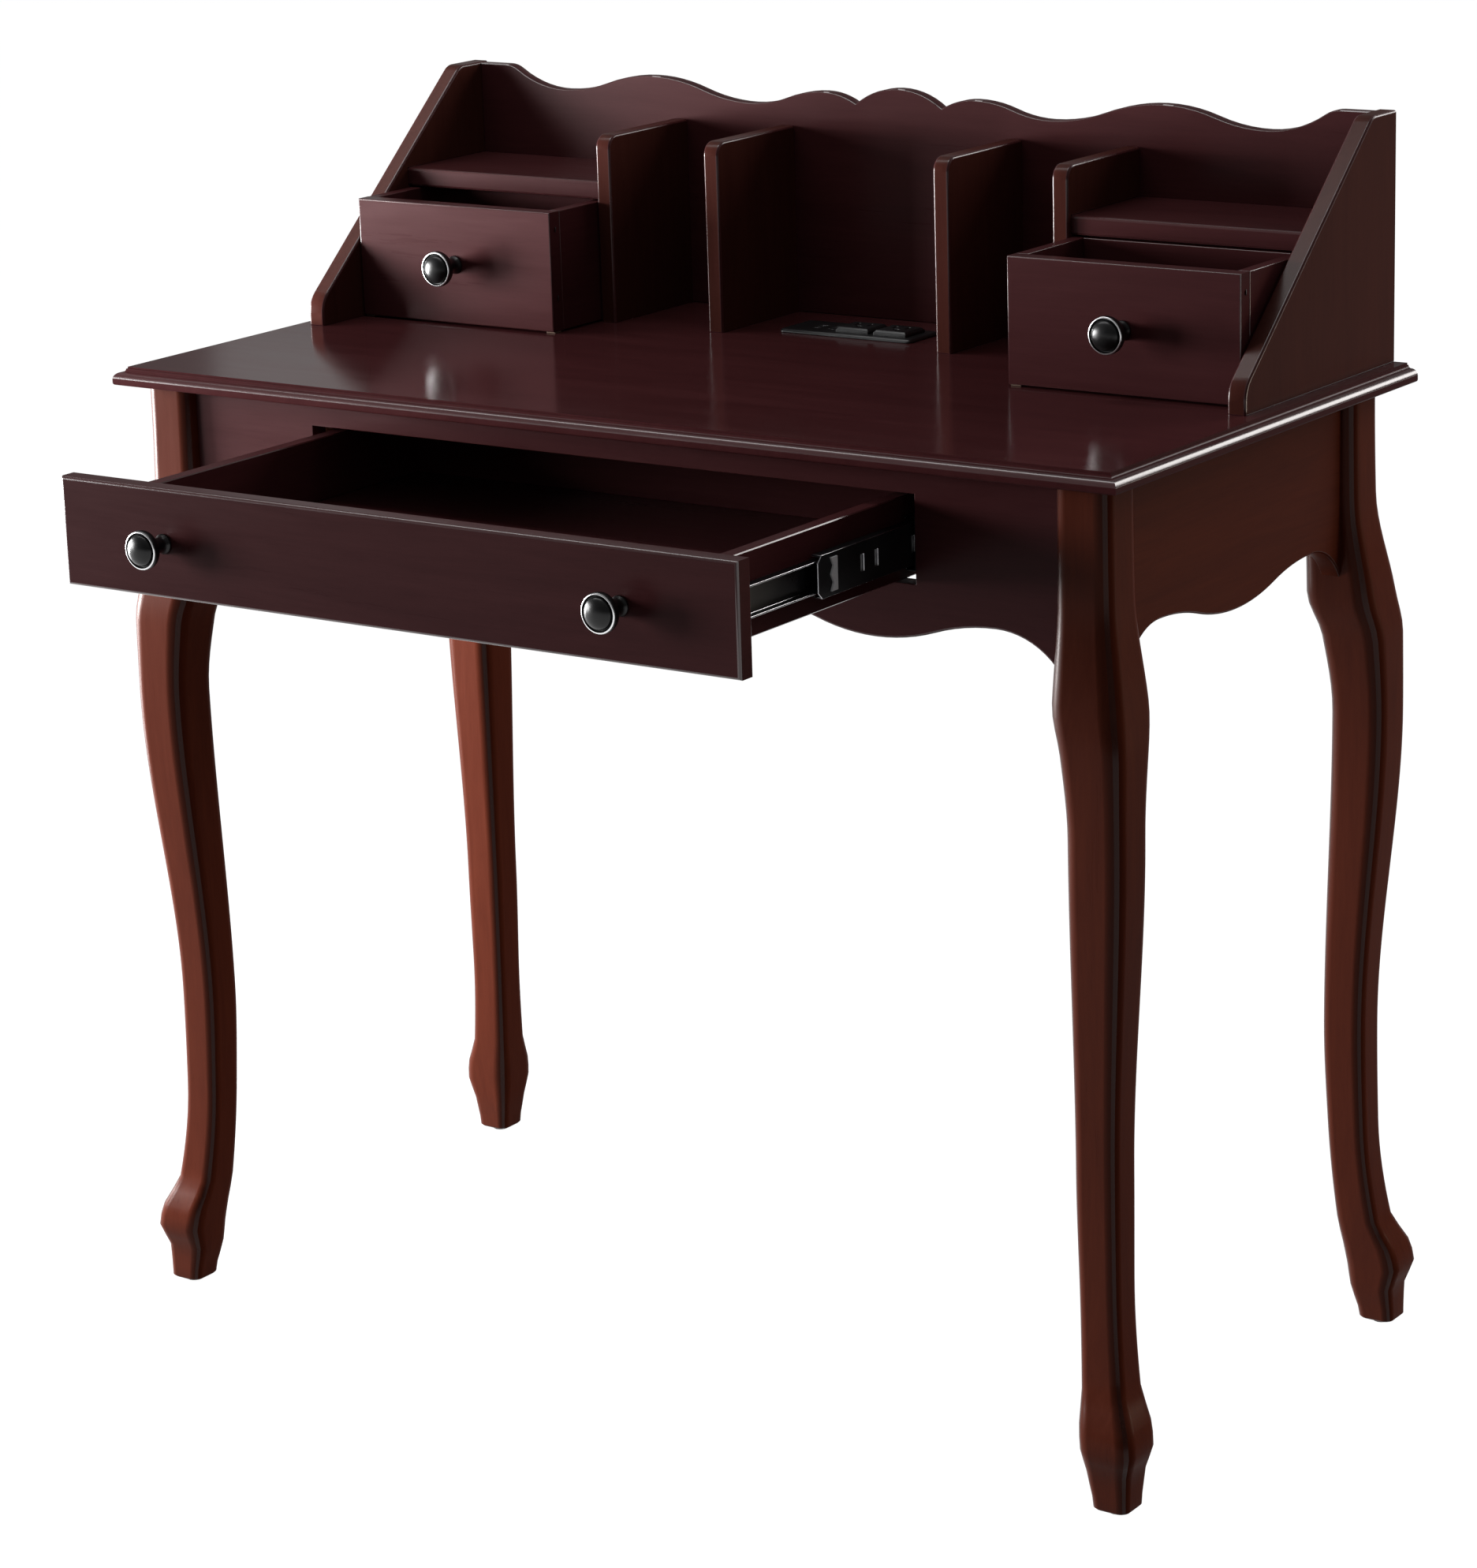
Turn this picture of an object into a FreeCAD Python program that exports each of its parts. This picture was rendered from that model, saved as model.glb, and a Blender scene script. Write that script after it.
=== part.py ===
import FreeCAD, Part
import math
import os

# Lady's writing desk: a table on cabriole legs with a wide drawer on ball-bearing slides, and a hutch
# with two small drawers, shelves, dividers and a power dock. Sizes are in millimetres. X runs to the
# right, Y to the rear and Z up from the floor. The origin is on the floor under the middle of the desk
# with its drawers as far open as they stand here.

Vec = FreeCAD.Vector

# Top
TOP_WIDTH = 916.0             # over the moulded edges
TOP_DEPTH = 455.0             # moulded front edge to plain rear edge
TOP_HEIGHT = 774.0            # floor to writing surface
TOP_THICKNESS = 14.0
MOULD_OUT = 9.0               # edge moulding past the flat
QUIRK_DROP = 1.5              # little step round the flat
QUIRK_LEDGE = 1.0
NOSE_HEIGHT = 2.5             # upright band at the moulding's nose
UNDER_ROUND = 2.0             # rounding below the nose

# Legs
TOP_OVERHANG = 17.5           # moulding past the posts, at the front and sides
LEG_REAR_INSET = 27.5         # rear posts in from the top's rear edge
POST_WIDTH = 44.5
LEG_ARRIS = 7.0               # planed off the leg's four corners
SOLE_OUT = 20.0               # sole's outer side past the post's outer face
SOLE_WIDTH = 30.0
# Height above the floor, then outer and inner side of the leg past the post's outer face
FOOT_POINTS = ((33.0, 21.0, -16.0), (51.0, 27.0, -18.5), (69.0, 23.5, -21.0), (92.0, 12.5, -24.0),
               (172.0, 4.5, -29.5))
# Share of the way from the ankle up to the knee, then the same two sides
SHANK_POINTS = ((0.25, 3.6, -32.2),)
# Drop below the top, then outer side past the post's outer face and inner side past its inner face
KNEE_POINTS = ((252.0, 17.5, 15.5), (191.0, 17.5, 9.0), (156.0, 13.0, -0.5), (80.0, 1.0, -0.5), (0.0, 0.0, -0.5))
GLIDE_HEIGHT = 4.0
GLIDE_RADIUS = 9.0
GLIDE_TAPER = 2.0

# Aprons
APRON_SETBACK = 10.0          # apron's face behind the post's face
APRON_THICKNESS = 16.0
APRON_PEAK_DROP = 113.0       # underside of the top to the arches of the lower edge
APRON_LOW_DROP = 130.0        # and to its bellies
APRON_EAR_DROP = 140.0        # and to its ends at the legs
EAR_RUN = 53.0                # leg to first arch along the front
SIDE_EAR_RUN = 46.0           # and along the sides
BELLY_RUN = 102.0             # arch to belly along the front
OPENING_STILE = 119.0         # apron between leg and drawer opening
OPENING_DROP = 21.5           # apron above the drawer opening
OPENING_HEIGHT = 66.0
EDGE_EASE = 1.2               # bevelled edges of the boards

# Corner blocks under the top
BLOCK_THICKNESS = 18.0
BLOCK_HEIGHT = 45.0
BLOCK_GAP = 1.0               # block clear of the post's inner corner

# Drawer slides
RAIL_THICKNESS = 20.0
SLIDE_WIDTH = 13.0            # rail to drawer side
SLIDE_WALL = 1.2
SLIDE_RISE = 29.3             # opening's bottom to the slide's middle
SLIDE_FRONT_GAP = 1.0         # slides behind the apron's face
SLIDE_REAR_GAP = 22.0         # slides clear of the rear apron
OUTER_HEIGHT = 40.0
MIDDLE_HEIGHT = 31.0
INNER_HEIGHT = 23.0
OUTER_LIP = 1.2               # turned-in lip that keeps the cage in
OUTER_TIP = 9.6               # flange tips, from the rail
MIDDLE_BACK = 2.8             # middle member's web, from the rail
MIDDLE_TIP = 10.6
INNER_TIP = 5.4
MIDDLE_END_CUT = 5.0          # cut off the corners of the middle member's front end
SLOT_WIDTH = 4.0
SLOT_HEIGHT = 12.0
SLOT_PLACES = (54.0, 72.0, 120.0)   # slots of the middle member, from its front end
STOP_PLACE = 15.0             # plastic stop, from the same end
STOP_LENGTH = 8.0
STOP_WAIST = 3.0
STOP_HEIGHT = 24.0
STOP_THICKNESS = 1.3
CAGE_WALL = 0.6
CAGE_END = 0.29               # share of the slide's length before and after each cage
CAGE_BALLS = 3                # balls in each row
BALL_CLEARANCE = 0.25         # ball to each race
BALL_POCKET = 0.25            # ball to cage
OUTER_CAGE_GAP = 0.5          # outer member's web to the cage
INNER_CAGE_GAP = 0.4          # middle member's web to the cage
CAGE_TIP_GAP = 0.8            # cage short of the lip or the inner member's web
OUTER_BALL_PLACE = 5.6        # ball rows, from the rail
INNER_BALL_PLACE = 8.0

# Wide drawer
DRAWER_OPEN = 242.0           # how far it stands open
FRONT_THICKNESS = 15.0
FRONT_OVERLAP_SIDE = 25.5     # front past the opening
FRONT_OVERLAP_TOP = 7.0
FRONT_OVERLAP_BOTTOM = 9.0
FRONT_ROUND = 4.0
DRAWER_WALL = 12.0
DRAWER_BOTTOM_GAP = 1.5       # drawer box above the opening's bottom
DRAWER_TOP_GAP = 3.5
BOTTOM_THICKNESS = 4.0
BOTTOM_RISE = 8.0             # bottom panel above the sides' lower edges
GROOVE_DEPTH = 5.0
KNOB_SPREAD = 410.0           # between the wide drawer's knobs

# Knobs
KNOB_REACH = 31.0
KNOB_RADIUS = 14.5
KNOB_BASE = 7.5
KNOB_BASE_HEIGHT = 1.6
KNOB_WAIST = 5.8
KNOB_WAIST_PLACE = 8.0
KNOB_FLARE = 0.25             # slope of the neck where it opens from the waist
KNOB_BACK = 20.5              # back of the rim
KNOB_RIM = 26.0               # front of the rim
KNOB_RIM_EDGE = 1.0
KNOB_RIM_FALL = 0.3           # rim's inner edge behind its front
KNOB_RIM_WIDTH = 2.0
KNOB_GROOVE = 1.2             # groove between rim and dome
KNOB_TIP = 2.5                # radius of the flat at the dome's tip
KNOB_STEPS = 4                # turned steps of the neck and the dome
KNOB_SIDES = 24

# Hutch
HUTCH_HEIGHT = 191.0
HUTCH_DEPTH = 235.0
HUTCH_INSET = 11.0            # sides in from the ends of the flat
SIDE_THICKNESS = 15.0
SIDE_TOE = 20.0               # upright front edge of the sides
SIDE_CREST = 38.0             # level top of the sides
SIDE_TOE_ROUND = 22.0
SIDE_CREST_ROUND = 15.0
BACK_THICKNESS = 10.0
BACK_DROP = 1.0               # back's shoulders below the top of the sides
BACK_SHOULDER = 27.0          # level stretch of the back at each side
SHOULDER_SHARE = 0.2          # part of the way down to the first dip that curves outwards
# Heights of the back's scalloped edge above the top, and where they lie from the middle
SCALLOP_OUTER_DIP = (334.0, 171.5)
SCALLOP_OUTER_CREST = (243.0, 187.0)
SCALLOP_INNER_DIP = (142.0, 169.5)
SCALLOP_SMALL_CREST = (72.0, 182.0)
SCALLOP_CUSP = (41.0, 173.5)
SCALLOP_CENTRE = 187.5
DIVIDER_THICKNESS = 14.0
DIVIDER_HEIGHT = 153.0
DIVIDER_DEPTH = 110.0
DIVIDER_ROUND = 11.0
CENTRE_BAY = 203.0            # between the inner dividers
PIGEONHOLE = 93.0             # between an inner and an outer divider
SHELF_THICKNESS = 15.0
SHELF_SETBACK = 5.0           # shelf's front edge behind the dividers'
SHELF_HOUSING = 4.0           # shelf's ends let into divider and side

# Small drawers
SMALL_HEIGHT = 97.0
SMALL_FRONT = 14.0
SMALL_WALL = 10.0
SMALL_DEPTH = 105.0
SMALL_SIDE_GAP = 1.5
SMALL_TOP_GAP = 1.0
SMALL_EASE = 1.6              # bevelled edges of the small fronts
SMALL_OPEN = {"left": 64.0, "right": 92.0}
PAD_HEIGHT = 1.3
PAD_WIDTH = 8.5
PAD_GAP = 0.2                 # pad above the top

# Power dock
DOCK_WIDTH = 125.0
DOCK_DEPTH = 45.0
DOCK_REAR = 52.0              # flange in from the top's rear edge
DOCK_FLANGE = 3.0
DOCK_CORNER = 4.0
DOCK_BODY_INSET = 4.0         # body in from the flange all round
DOCK_CLEARANCE = 0.5
DOCK_HANG = 12.0              # body below the top
SOCKET_WIDTH = 31.0
SOCKET_DEPTH = 29.0
SOCKET_PROUD = 4.0
SOCKET_SUNK = 12.0            # socket's seat below the flange's face
SOCKET_BEVEL = 2.0
SLIT_WIDTH = 1.8
SLIT_LENGTH = 7.0
SLIT_SPREAD = 12.0
EARTH_WIDTH = 4.4
PIN_DEPTH = 9.0
PORT_WIDTH = 6.0
PORT_LENGTH = 13.5
PORT_SUNK = 9.0
PORT_WALL = 0.8
PORT_TONGUE = 1.6
# Shares of the dock's spare width before each port and socket from the left
DOCK_SPACING = (0.453, 0.186, 0.14, 0.105)
INLET_DEPTH = 8.0             # mains inlet in the dock's left end
INLET_WIDTH = 16.0
INLET_HEIGHT = 7.0

# Places that follow from the sizes, rear to front
overall_depth = TOP_DEPTH - TOP_OVERHANG - APRON_SETBACK + DRAWER_OPEN + FRONT_THICKNESS + KNOB_REACH
top_rear = overall_depth / 2
top_front = top_rear - TOP_DEPTH
post_rear = top_rear - LEG_REAR_INSET
post_front = top_front + TOP_OVERHANG
post_side = TOP_WIDTH / 2 - TOP_OVERHANG
apron_front = post_front + APRON_SETBACK
apron_front_back = apron_front + APRON_THICKNESS
apron_rear = post_rear - APRON_SETBACK
apron_rear_front = apron_rear - APRON_THICKNESS
apron_side = post_side - APRON_SETBACK
leg_inner_side = post_side - POST_WIDTH
leg_inner_front = post_front + POST_WIDTH
leg_inner_rear = post_rear - POST_WIDTH
flat_side = TOP_WIDTH / 2 - MOULD_OUT

# Heights
underside = TOP_HEIGHT - TOP_THICKNESS
opening_top = underside - OPENING_DROP
opening_bottom = opening_top - OPENING_HEIGHT
slide_level = opening_bottom + SLIDE_RISE

# Slides and wide drawer
opening_side = leg_inner_side - OPENING_STILE
slide_front = apron_front + SLIDE_FRONT_GAP
slide_length = apron_rear_front - SLIDE_REAR_GAP - slide_front
drawer_side = opening_side - SLIDE_WIDTH
drawer_low = opening_bottom + DRAWER_BOTTOM_GAP
drawer_high = opening_top - DRAWER_TOP_GAP
drawer_face = apron_front - FRONT_THICKNESS - DRAWER_OPEN
drawer_start = drawer_face + FRONT_THICKNESS
drawer_end = drawer_start + slide_length
front_low = opening_bottom - FRONT_OVERLAP_BOTTOM
front_high = opening_top + FRONT_OVERLAP_TOP

# Hutch and small drawers
hutch_side = flat_side - HUTCH_INSET
hutch_inside = hutch_side - SIDE_THICKNESS
back_front = top_rear - BACK_THICKNESS
divider_front = back_front - DIVIDER_DEPTH
inner_divider = CENTRE_BAY / 2
outer_divider = inner_divider + DIVIDER_THICKNESS + PIGEONHOLE
bay_inner = outer_divider + DIVIDER_THICKNESS
shelf_front = divider_front + SHELF_SETBACK
small_low = TOP_HEIGHT + PAD_GAP + PAD_HEIGHT
shelf_low = small_low + SMALL_HEIGHT + SMALL_TOP_GAP
small_inner = bay_inner + SMALL_SIDE_GAP
small_outer = hutch_inside - SMALL_SIDE_GAP
dock_back = top_rear - DOCK_REAR
dock_front = dock_back - DOCK_DEPTH
dock_face = TOP_HEIGHT + DOCK_FLANGE
dock_middle = (dock_front + dock_back) / 2


# Shapes that many pieces use

def box(x, y, z):
    """Box between the low and high values of each axis."""
    return Part.makeBox(x[1] - x[0], y[1] - y[0], z[1] - z[0], Vec(x[0], y[0], z[0]))


def plate(points, sweep):
    """Flat outline with straight sides, swept along a vector."""
    return Part.Face(Part.makePolygon(points + points[:1])).extrude(sweep)


def line(start, end):
    return Part.LineSegment(start, end).toShape()


def arc_from(start, heading, end):
    """Arc that leaves its start along a unit heading; a line where that is straight."""
    span = (end - start).Length
    chord = (end - start) * (1 / span)
    if heading.cross(chord).Length < 1e-5:
        return line(start, end)
    aim = (heading + chord).normalize()
    return Part.Arc(start, start + aim * (span / (2 * aim.dot(chord))), end).toShape()


def two_arcs(start, heading, end, last):
    """Two arcs that meet smoothly, between two points with a unit heading at each."""
    chord = end - start
    spread = 2 - 2 * heading.dot(last)
    along = chord.dot(heading + last)
    if spread < 1e-9:
        reach = chord.dot(chord) / (2 * along)
    else:
        reach = (math.sqrt(along * along + spread * chord.dot(chord)) - along) / spread
    joint = (start + end + (heading - last) * reach) * 0.5
    return [arc_from(start, heading, joint), arc_from(end, last * -1, joint)]


def smooth_line(points, heading):
    """Smooth chain of arcs through points, with the same unit heading at both ends."""
    steps = [after - before for before, after in zip(points, points[1:])]
    headings = [heading]
    for before, after in zip(steps, steps[1:]):
        headings.append((before * (1 / before.dot(before)) + after * (1 / after.dot(after))).normalize())
    headings.append(heading)
    edges = []
    for number in range(len(steps)):
        edges += two_arcs(points[number], headings[number], points[number + 1], headings[number + 1])
    return edges


def wave(points):
    """Edges of a waved outline that is level at each of its points."""
    edges = []
    for start, end in zip(points, points[1:]):
        level = Vec(end.x - start.x, end.y - start.y, 0).normalize()
        edges += two_arcs(start, level, end, level)
    return edges


def lobe(crest, foot):
    """Arc that is level at its crest and runs down to its foot."""
    return arc_from(crest, Vec(foot.x - crest.x, foot.y - crest.y, 0).normalize(), foot)


def closed_face(edges):
    """Face inside a chain of edges, closed by one straight edge if need be."""
    ordered = Part.__sortEdges__(edges)
    ends = Part.Wire(ordered)
    if not ends.isClosed():
        ordered.append(line(ends.OrderedVertexes[-1].Point, ends.OrderedVertexes[0].Point))
    return Part.Face(Part.Wire(ordered))


def flat(points):
    return Part.Face(Part.makePolygon(points + points[:1]))


def stacked(rings, sides, middle):
    """Solid with flat faces through regular polygons, each given by its radius and height."""
    turns = [2 * math.pi * number / sides for number in range(sides)]
    loops = [[middle + Vec(radius * math.cos(turn), radius * math.sin(turn), height) for turn in turns]
             for radius, height in rings]
    faces = [flat(loops[0]), flat(loops[-1])]
    for lower, upper in zip(loops, loops[1:]):
        for number in range(sides):
            faces.append(flat([lower[number - 1], lower[number], upper[number], upper[number - 1]]))
    return Part.Solid(Part.makeShell(faces))


def eased(shape, radius, chosen):
    """Shape with its chosen edges rounded."""
    return shape.makeFillet(radius, [edge for edge in shape.Edges if chosen(edge.BoundBox)])


def bevelled(shape, size, chosen):
    """Shape with its chosen edges cut off."""
    return shape.makeChamfer(size, [edge for edge in shape.Edges if chosen(edge.BoundBox)])


def mirrored(shape):
    return shape.mirror(Vec(0, 0, 0), Vec(1, 0, 0))


def both_sides(right):
    return {"right": right, "left": mirrored(right)}


# Tabletop

def edge_moulding(place):
    """Edges of the moulding from the flat to the underside; place turns (out, down) into a point."""
    under = TOP_THICKNESS - UNDER_ROUND
    nose = under - NOSE_HEIGHT
    down = Vec(0, 0, -1)
    ogee = two_arcs(place(QUIRK_LEDGE, QUIRK_DROP), down, place(MOULD_OUT, nose), down)
    straight = [line(place(0, 0), place(0, QUIRK_DROP)),
                line(place(0, QUIRK_DROP), place(QUIRK_LEDGE, QUIRK_DROP)),
                line(place(MOULD_OUT, nose), place(MOULD_OUT, under))]
    return straight + ogee + [arc_from(place(MOULD_OUT, under), down, place(MOULD_OUT - UNDER_ROUND, TOP_THICKNESS))]


def make_tabletop():
    def front(out, down):
        return Vec(-TOP_WIDTH / 2, top_front + MOULD_OUT - out, TOP_HEIGHT - down)

    def right(out, down):
        return Vec(flat_side + out, top_front, TOP_HEIGHT - down)

    def left(out, down):
        return Vec(-flat_side - out, top_front, TOP_HEIGHT - down)

    rear_high = Vec(-TOP_WIDTH / 2, top_rear, TOP_HEIGHT)
    rear_low = Vec(-TOP_WIDTH / 2, top_rear, underside)
    inner_out = MOULD_OUT - UNDER_ROUND
    front_edges = edge_moulding(front) + [line(front(inner_out, TOP_THICKNESS), rear_low),
                                          line(rear_low, rear_high), line(rear_high, front(0, 0))]
    lengthwise = closed_face(front_edges).extrude(Vec(TOP_WIDTH, 0, 0))
    side_edges = edge_moulding(right) + edge_moulding(left) + [
        line(right(0, 0), left(0, 0)), line(right(inner_out, TOP_THICKNESS), left(inner_out, TOP_THICKNESS))]
    crosswise = closed_face(side_edges).extrude(Vec(0, TOP_DEPTH, 0))
    top = lengthwise.common(crosswise)
    inset = DOCK_BODY_INSET - DOCK_CLEARANCE
    return top.cut(box((inset - DOCK_WIDTH / 2, DOCK_WIDTH / 2 - inset), (dock_front + inset, dock_back - inset),
                       (underside - 1, TOP_HEIGHT + 1)))


# Legs, glides and corner blocks. Each is made for the rear right corner, with the outer corner of the
# post at the origin, and then placed at all four corners.

def at_corners(shape):
    """The four placed copies of a rear right corner's shape, by corner."""
    turned = shape.mirror(Vec(0, 0, 0), Vec(0, 1, 0))
    rear_right = shape.translated(Vec(post_side, post_rear, 0))
    front_right = turned.translated(Vec(post_side, post_front, 0))
    return {"front_left": mirrored(front_right), "front_right": front_right,
            "rear_left": mirrored(rear_right), "rear_right": rear_right}


def leg_points():
    """Height, outer and inner side of the leg at each point of its outline."""
    ankle = FOOT_POINTS[-1][0]
    knee = underside - KNEE_POINTS[0][0]
    points = [(GLIDE_HEIGHT, SOLE_OUT, SOLE_OUT - SOLE_WIDTH)] + list(FOOT_POINTS)
    points += [(ankle + (knee - ankle) * share, outer, inner) for share, outer, inner in SHANK_POINTS]
    return points + [(underside - drop, outer, inner - POST_WIDTH) for drop, outer, inner in KNEE_POINTS]


def sawn(points, across, sweep):
    """Blank sawn to an outline between two upright curves and swept to both sides of the corner."""
    up = Vec(0, 0, 1)
    outer = [across * high + up * z for z, high, low in points]
    inner = [across * low + up * z for z, high, low in points]
    edges = smooth_line(outer, up) + smooth_line(inner, up)
    edges += [line(outer[0], inner[0]), line(outer[-1], inner[-1])]
    reach = sweep * (2 * POST_WIDTH)
    return Part.Face(Part.Wire(Part.__sortEdges__(edges))).extrude(reach * 2).translated(reach * -1)


def make_leg():
    """Cabriole leg: one outline sawn from two sides, and the four corners planed off along it."""
    points = leg_points()
    root = math.sqrt(2)
    ridge = [(z, (2 * outer - LEG_ARRIS) / root, (2 * inner + LEG_ARRIS) / root) for z, outer, inner in points]
    breadth = [(z, (outer - inner - LEG_ARRIS) / root) for z, outer, inner in points]
    along = Vec(1, 1, 0).normalize()
    across = Vec(1, -1, 0).normalize()
    leg = sawn(points, Vec(1, 0, 0), Vec(0, 1, 0)).common(sawn(points, Vec(0, 1, 0), Vec(1, 0, 0)))
    leg = leg.common(sawn(ridge, along, across))
    leg = leg.common(sawn([(z, half, -half) for z, half in breadth], across, along))
    inside = (-2 * POST_WIDTH, -POST_WIDTH)
    both = (-2 * POST_WIDTH, POST_WIDTH)
    heights = (underside - APRON_EAR_DROP, underside + 1)
    return leg.cut([box(inside, both, heights), box(both, inside, heights)])


def make_glide():
    middle = SOLE_OUT - SOLE_WIDTH / 2
    return stacked([(GLIDE_RADIUS - GLIDE_TAPER, 0), (GLIDE_RADIUS, GLIDE_HEIGHT)], 16, Vec(middle, middle, 0))


def make_corner_block():
    seat = -(APRON_SETBACK + APRON_THICKNESS)
    near = 2 * (POST_WIDTH - APRON_SETBACK - APRON_THICKNESS) + BLOCK_GAP
    far = near + BLOCK_THICKNESS * math.sqrt(2)
    low = underside - BLOCK_HEIGHT
    outline = [Vec(seat - near, seat, low), Vec(seat - far, seat, low), Vec(seat, seat - far, low),
               Vec(seat, seat - near, low)]
    return plate(outline, Vec(0, 0, BLOCK_HEIGHT))


# Aprons

def make_front_apron():
    arch = underside - APRON_PEAK_DROP
    belly = underside - APRON_LOW_DROP
    ear = underside - APRON_EAR_DROP
    end = leg_inner_side
    waves = [(end, ear), (end - EAR_RUN, arch), (end - EAR_RUN - BELLY_RUN, belly),
             (end - EAR_RUN - 2 * BELLY_RUN, arch), (0, belly)]
    points = [Vec(x, apron_front, z) for x, z in waves]
    right = [lobe(points[1], points[0])] + wave(points[1:])
    left = [mirrored(edge) for edge in right]
    high = [Vec(end, apron_front, underside), Vec(-end, apron_front, underside)]
    rim = [line(points[0], high[0]), line(high[0], high[1]), line(high[1], Vec(-end, apron_front, ear))]
    apron = closed_face(right + left + rim).extrude(Vec(0, APRON_THICKNESS, 0))
    opening = box((-opening_side, opening_side), (apron_front - 1, apron_front_back + 1), (opening_bottom, opening_top))
    apron = apron.cut(opening)
    lower = opening_bottom - EDGE_EASE
    return bevelled(apron, EDGE_EASE, lambda b: b.YMax < apron_front + 0.01 and b.ZMax < lower and b.XLength > 1)


def make_side_apron():
    arch = underside - APRON_PEAK_DROP
    ear = underside - APRON_EAR_DROP
    middle = (leg_inner_front + leg_inner_rear) / 2
    half = (leg_inner_rear - leg_inner_front) / 2
    points = [Vec(apron_side, middle + y, z) for y, z in
              ((half, ear), (half - SIDE_EAR_RUN, arch), (0, underside - APRON_LOW_DROP))]
    rear = [lobe(points[1], points[0])] + wave(points[1:])
    front = [edge.mirror(Vec(0, middle, 0), Vec(0, 1, 0)) for edge in rear]
    low_front = Vec(apron_side, leg_inner_front, ear)
    high = [Vec(apron_side, leg_inner_rear, underside), Vec(apron_side, leg_inner_front, underside)]
    rim = [line(points[0], high[0]), line(high[0], high[1]), line(high[1], low_front)]
    apron = closed_face(rear + front + rim).extrude(Vec(-APRON_THICKNESS, 0, 0))
    return bevelled(apron, EDGE_EASE, lambda b: b.XMin > apron_side - 0.01 and b.ZMax < arch + 1 and b.YLength > 1)


def make_rear_apron():
    return box((-leg_inner_side, leg_inner_side), (apron_rear_front, apron_rear),
               (underside - APRON_PEAK_DROP, underside))


# Drawer slides, made for the right side. Distances run from the rail's face towards the drawer.

def channel(back, tip, height, front, length, lip=0.0):
    """Bent strip with a web at back and flanges reaching to tip, along the slide."""
    half = height / 2
    wall = math.copysign(SLIDE_WALL, tip - back)
    upper = [(back, half), (tip, half), (tip, half - SLIDE_WALL - lip)]
    if lip:
        upper += [(tip - wall, half - SLIDE_WALL - lip), (tip - wall, half - SLIDE_WALL)]
    upper.append((back + wall, half - SLIDE_WALL))
    outline = upper + [(run, -rise) for run, rise in reversed(upper)]
    points = [Vec(opening_side - run, front, slide_level + rise) for run, rise in outline]
    return plate(points, Vec(0, length, 0))


def cut_end(front, height):
    """Block that keeps a slide member but cuts off its front end's upper and lower corner."""
    block = box((drawer_side, opening_side), (front, front + slide_length),
                (slide_level - height / 2, slide_level + height / 2))
    return bevelled(block, MIDDLE_END_CUT, lambda b: b.YMax < front + 0.01 and b.XLength > 1)


def make_outer_member():
    return channel(0.0, OUTER_TIP, OUTER_HEIGHT, slide_front, slide_length, OUTER_LIP)


def make_middle_member():
    front = slide_front - DRAWER_OPEN / 2
    member = channel(MIDDLE_BACK, MIDDLE_TIP, MIDDLE_HEIGHT, front, slide_length)
    member = member.common(cut_end(front, MIDDLE_HEIGHT))
    web = (opening_side - MIDDLE_BACK - 2 * SLIDE_WALL, opening_side)
    slots = [box(web, (front + place, front + place + SLOT_WIDTH),
                 (slide_level - SLOT_HEIGHT / 2, slide_level + SLOT_HEIGHT / 2)) for place in SLOT_PLACES]
    return member.cut(slots)


def make_inner_member():
    return channel(SLIDE_WIDTH, INNER_TIP, INNER_HEIGHT, slide_front - DRAWER_OPEN, slide_length)


def make_slide_stop():
    """Plastic pad with a waist, on the outside of the middle member's web."""
    front = slide_front - DRAWER_OPEN / 2 + STOP_PLACE
    half = STOP_HEIGHT / 2
    waist = half / 2
    outline = [(0, half), (STOP_LENGTH, half), (STOP_LENGTH, -half), (0, -half), (STOP_WAIST, -waist), (0, 0),
               (STOP_WAIST, waist)]
    web = opening_side - MIDDLE_BACK
    return plate([Vec(web, front + y, slide_level + z) for y, z in outline], Vec(STOP_THICKNESS, 0, 0))


def make_cage(web, tip, race, ball_radius, ball_place, shift):
    """Ball cage between two slide members: a bent strip with a row of balls along each flange."""
    front = slide_front + slide_length * CAGE_END - DRAWER_OPEN * shift
    length = slide_length * (1 - 2 * CAGE_END)
    level = race - ball_radius - BALL_CLEARANCE
    half = level + CAGE_WALL / 2
    upper = [(web, half), (tip, half), (tip, half - CAGE_WALL), (web + CAGE_WALL, half - CAGE_WALL)]
    outline = upper + [(run, -rise) for run, rise in reversed(upper)]
    strip = plate([Vec(opening_side - run, front, slide_level + rise) for run, rise in outline], Vec(0, length, 0))
    ring = ball_radius * math.sqrt(0.5)
    half = ball_radius + BALL_POCKET
    balls = []
    pockets = []
    for row in (-level, level):
        for number in range(CAGE_BALLS):
            along = front + length * (number + 0.5) / CAGE_BALLS
            middle = Vec(opening_side - ball_place, along, slide_level + row)
            balls.append(stacked([(ring, -ring), (ball_radius, 0), (ring, ring)], 8, middle))
            pockets.append(Part.makeBox(2 * half, 2 * half, 2 * half, middle - Vec(half, half, half)))
    return Part.makeCompound([strip.cut(pockets)] + balls)


def make_outer_cage():
    race = OUTER_HEIGHT / 2 - SLIDE_WALL
    ball = (race - MIDDLE_HEIGHT / 2) / 2 - BALL_CLEARANCE
    tip = OUTER_TIP - SLIDE_WALL - CAGE_TIP_GAP
    return make_cage(SLIDE_WALL + OUTER_CAGE_GAP, tip, race, ball, OUTER_BALL_PLACE, 0.25)


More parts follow.
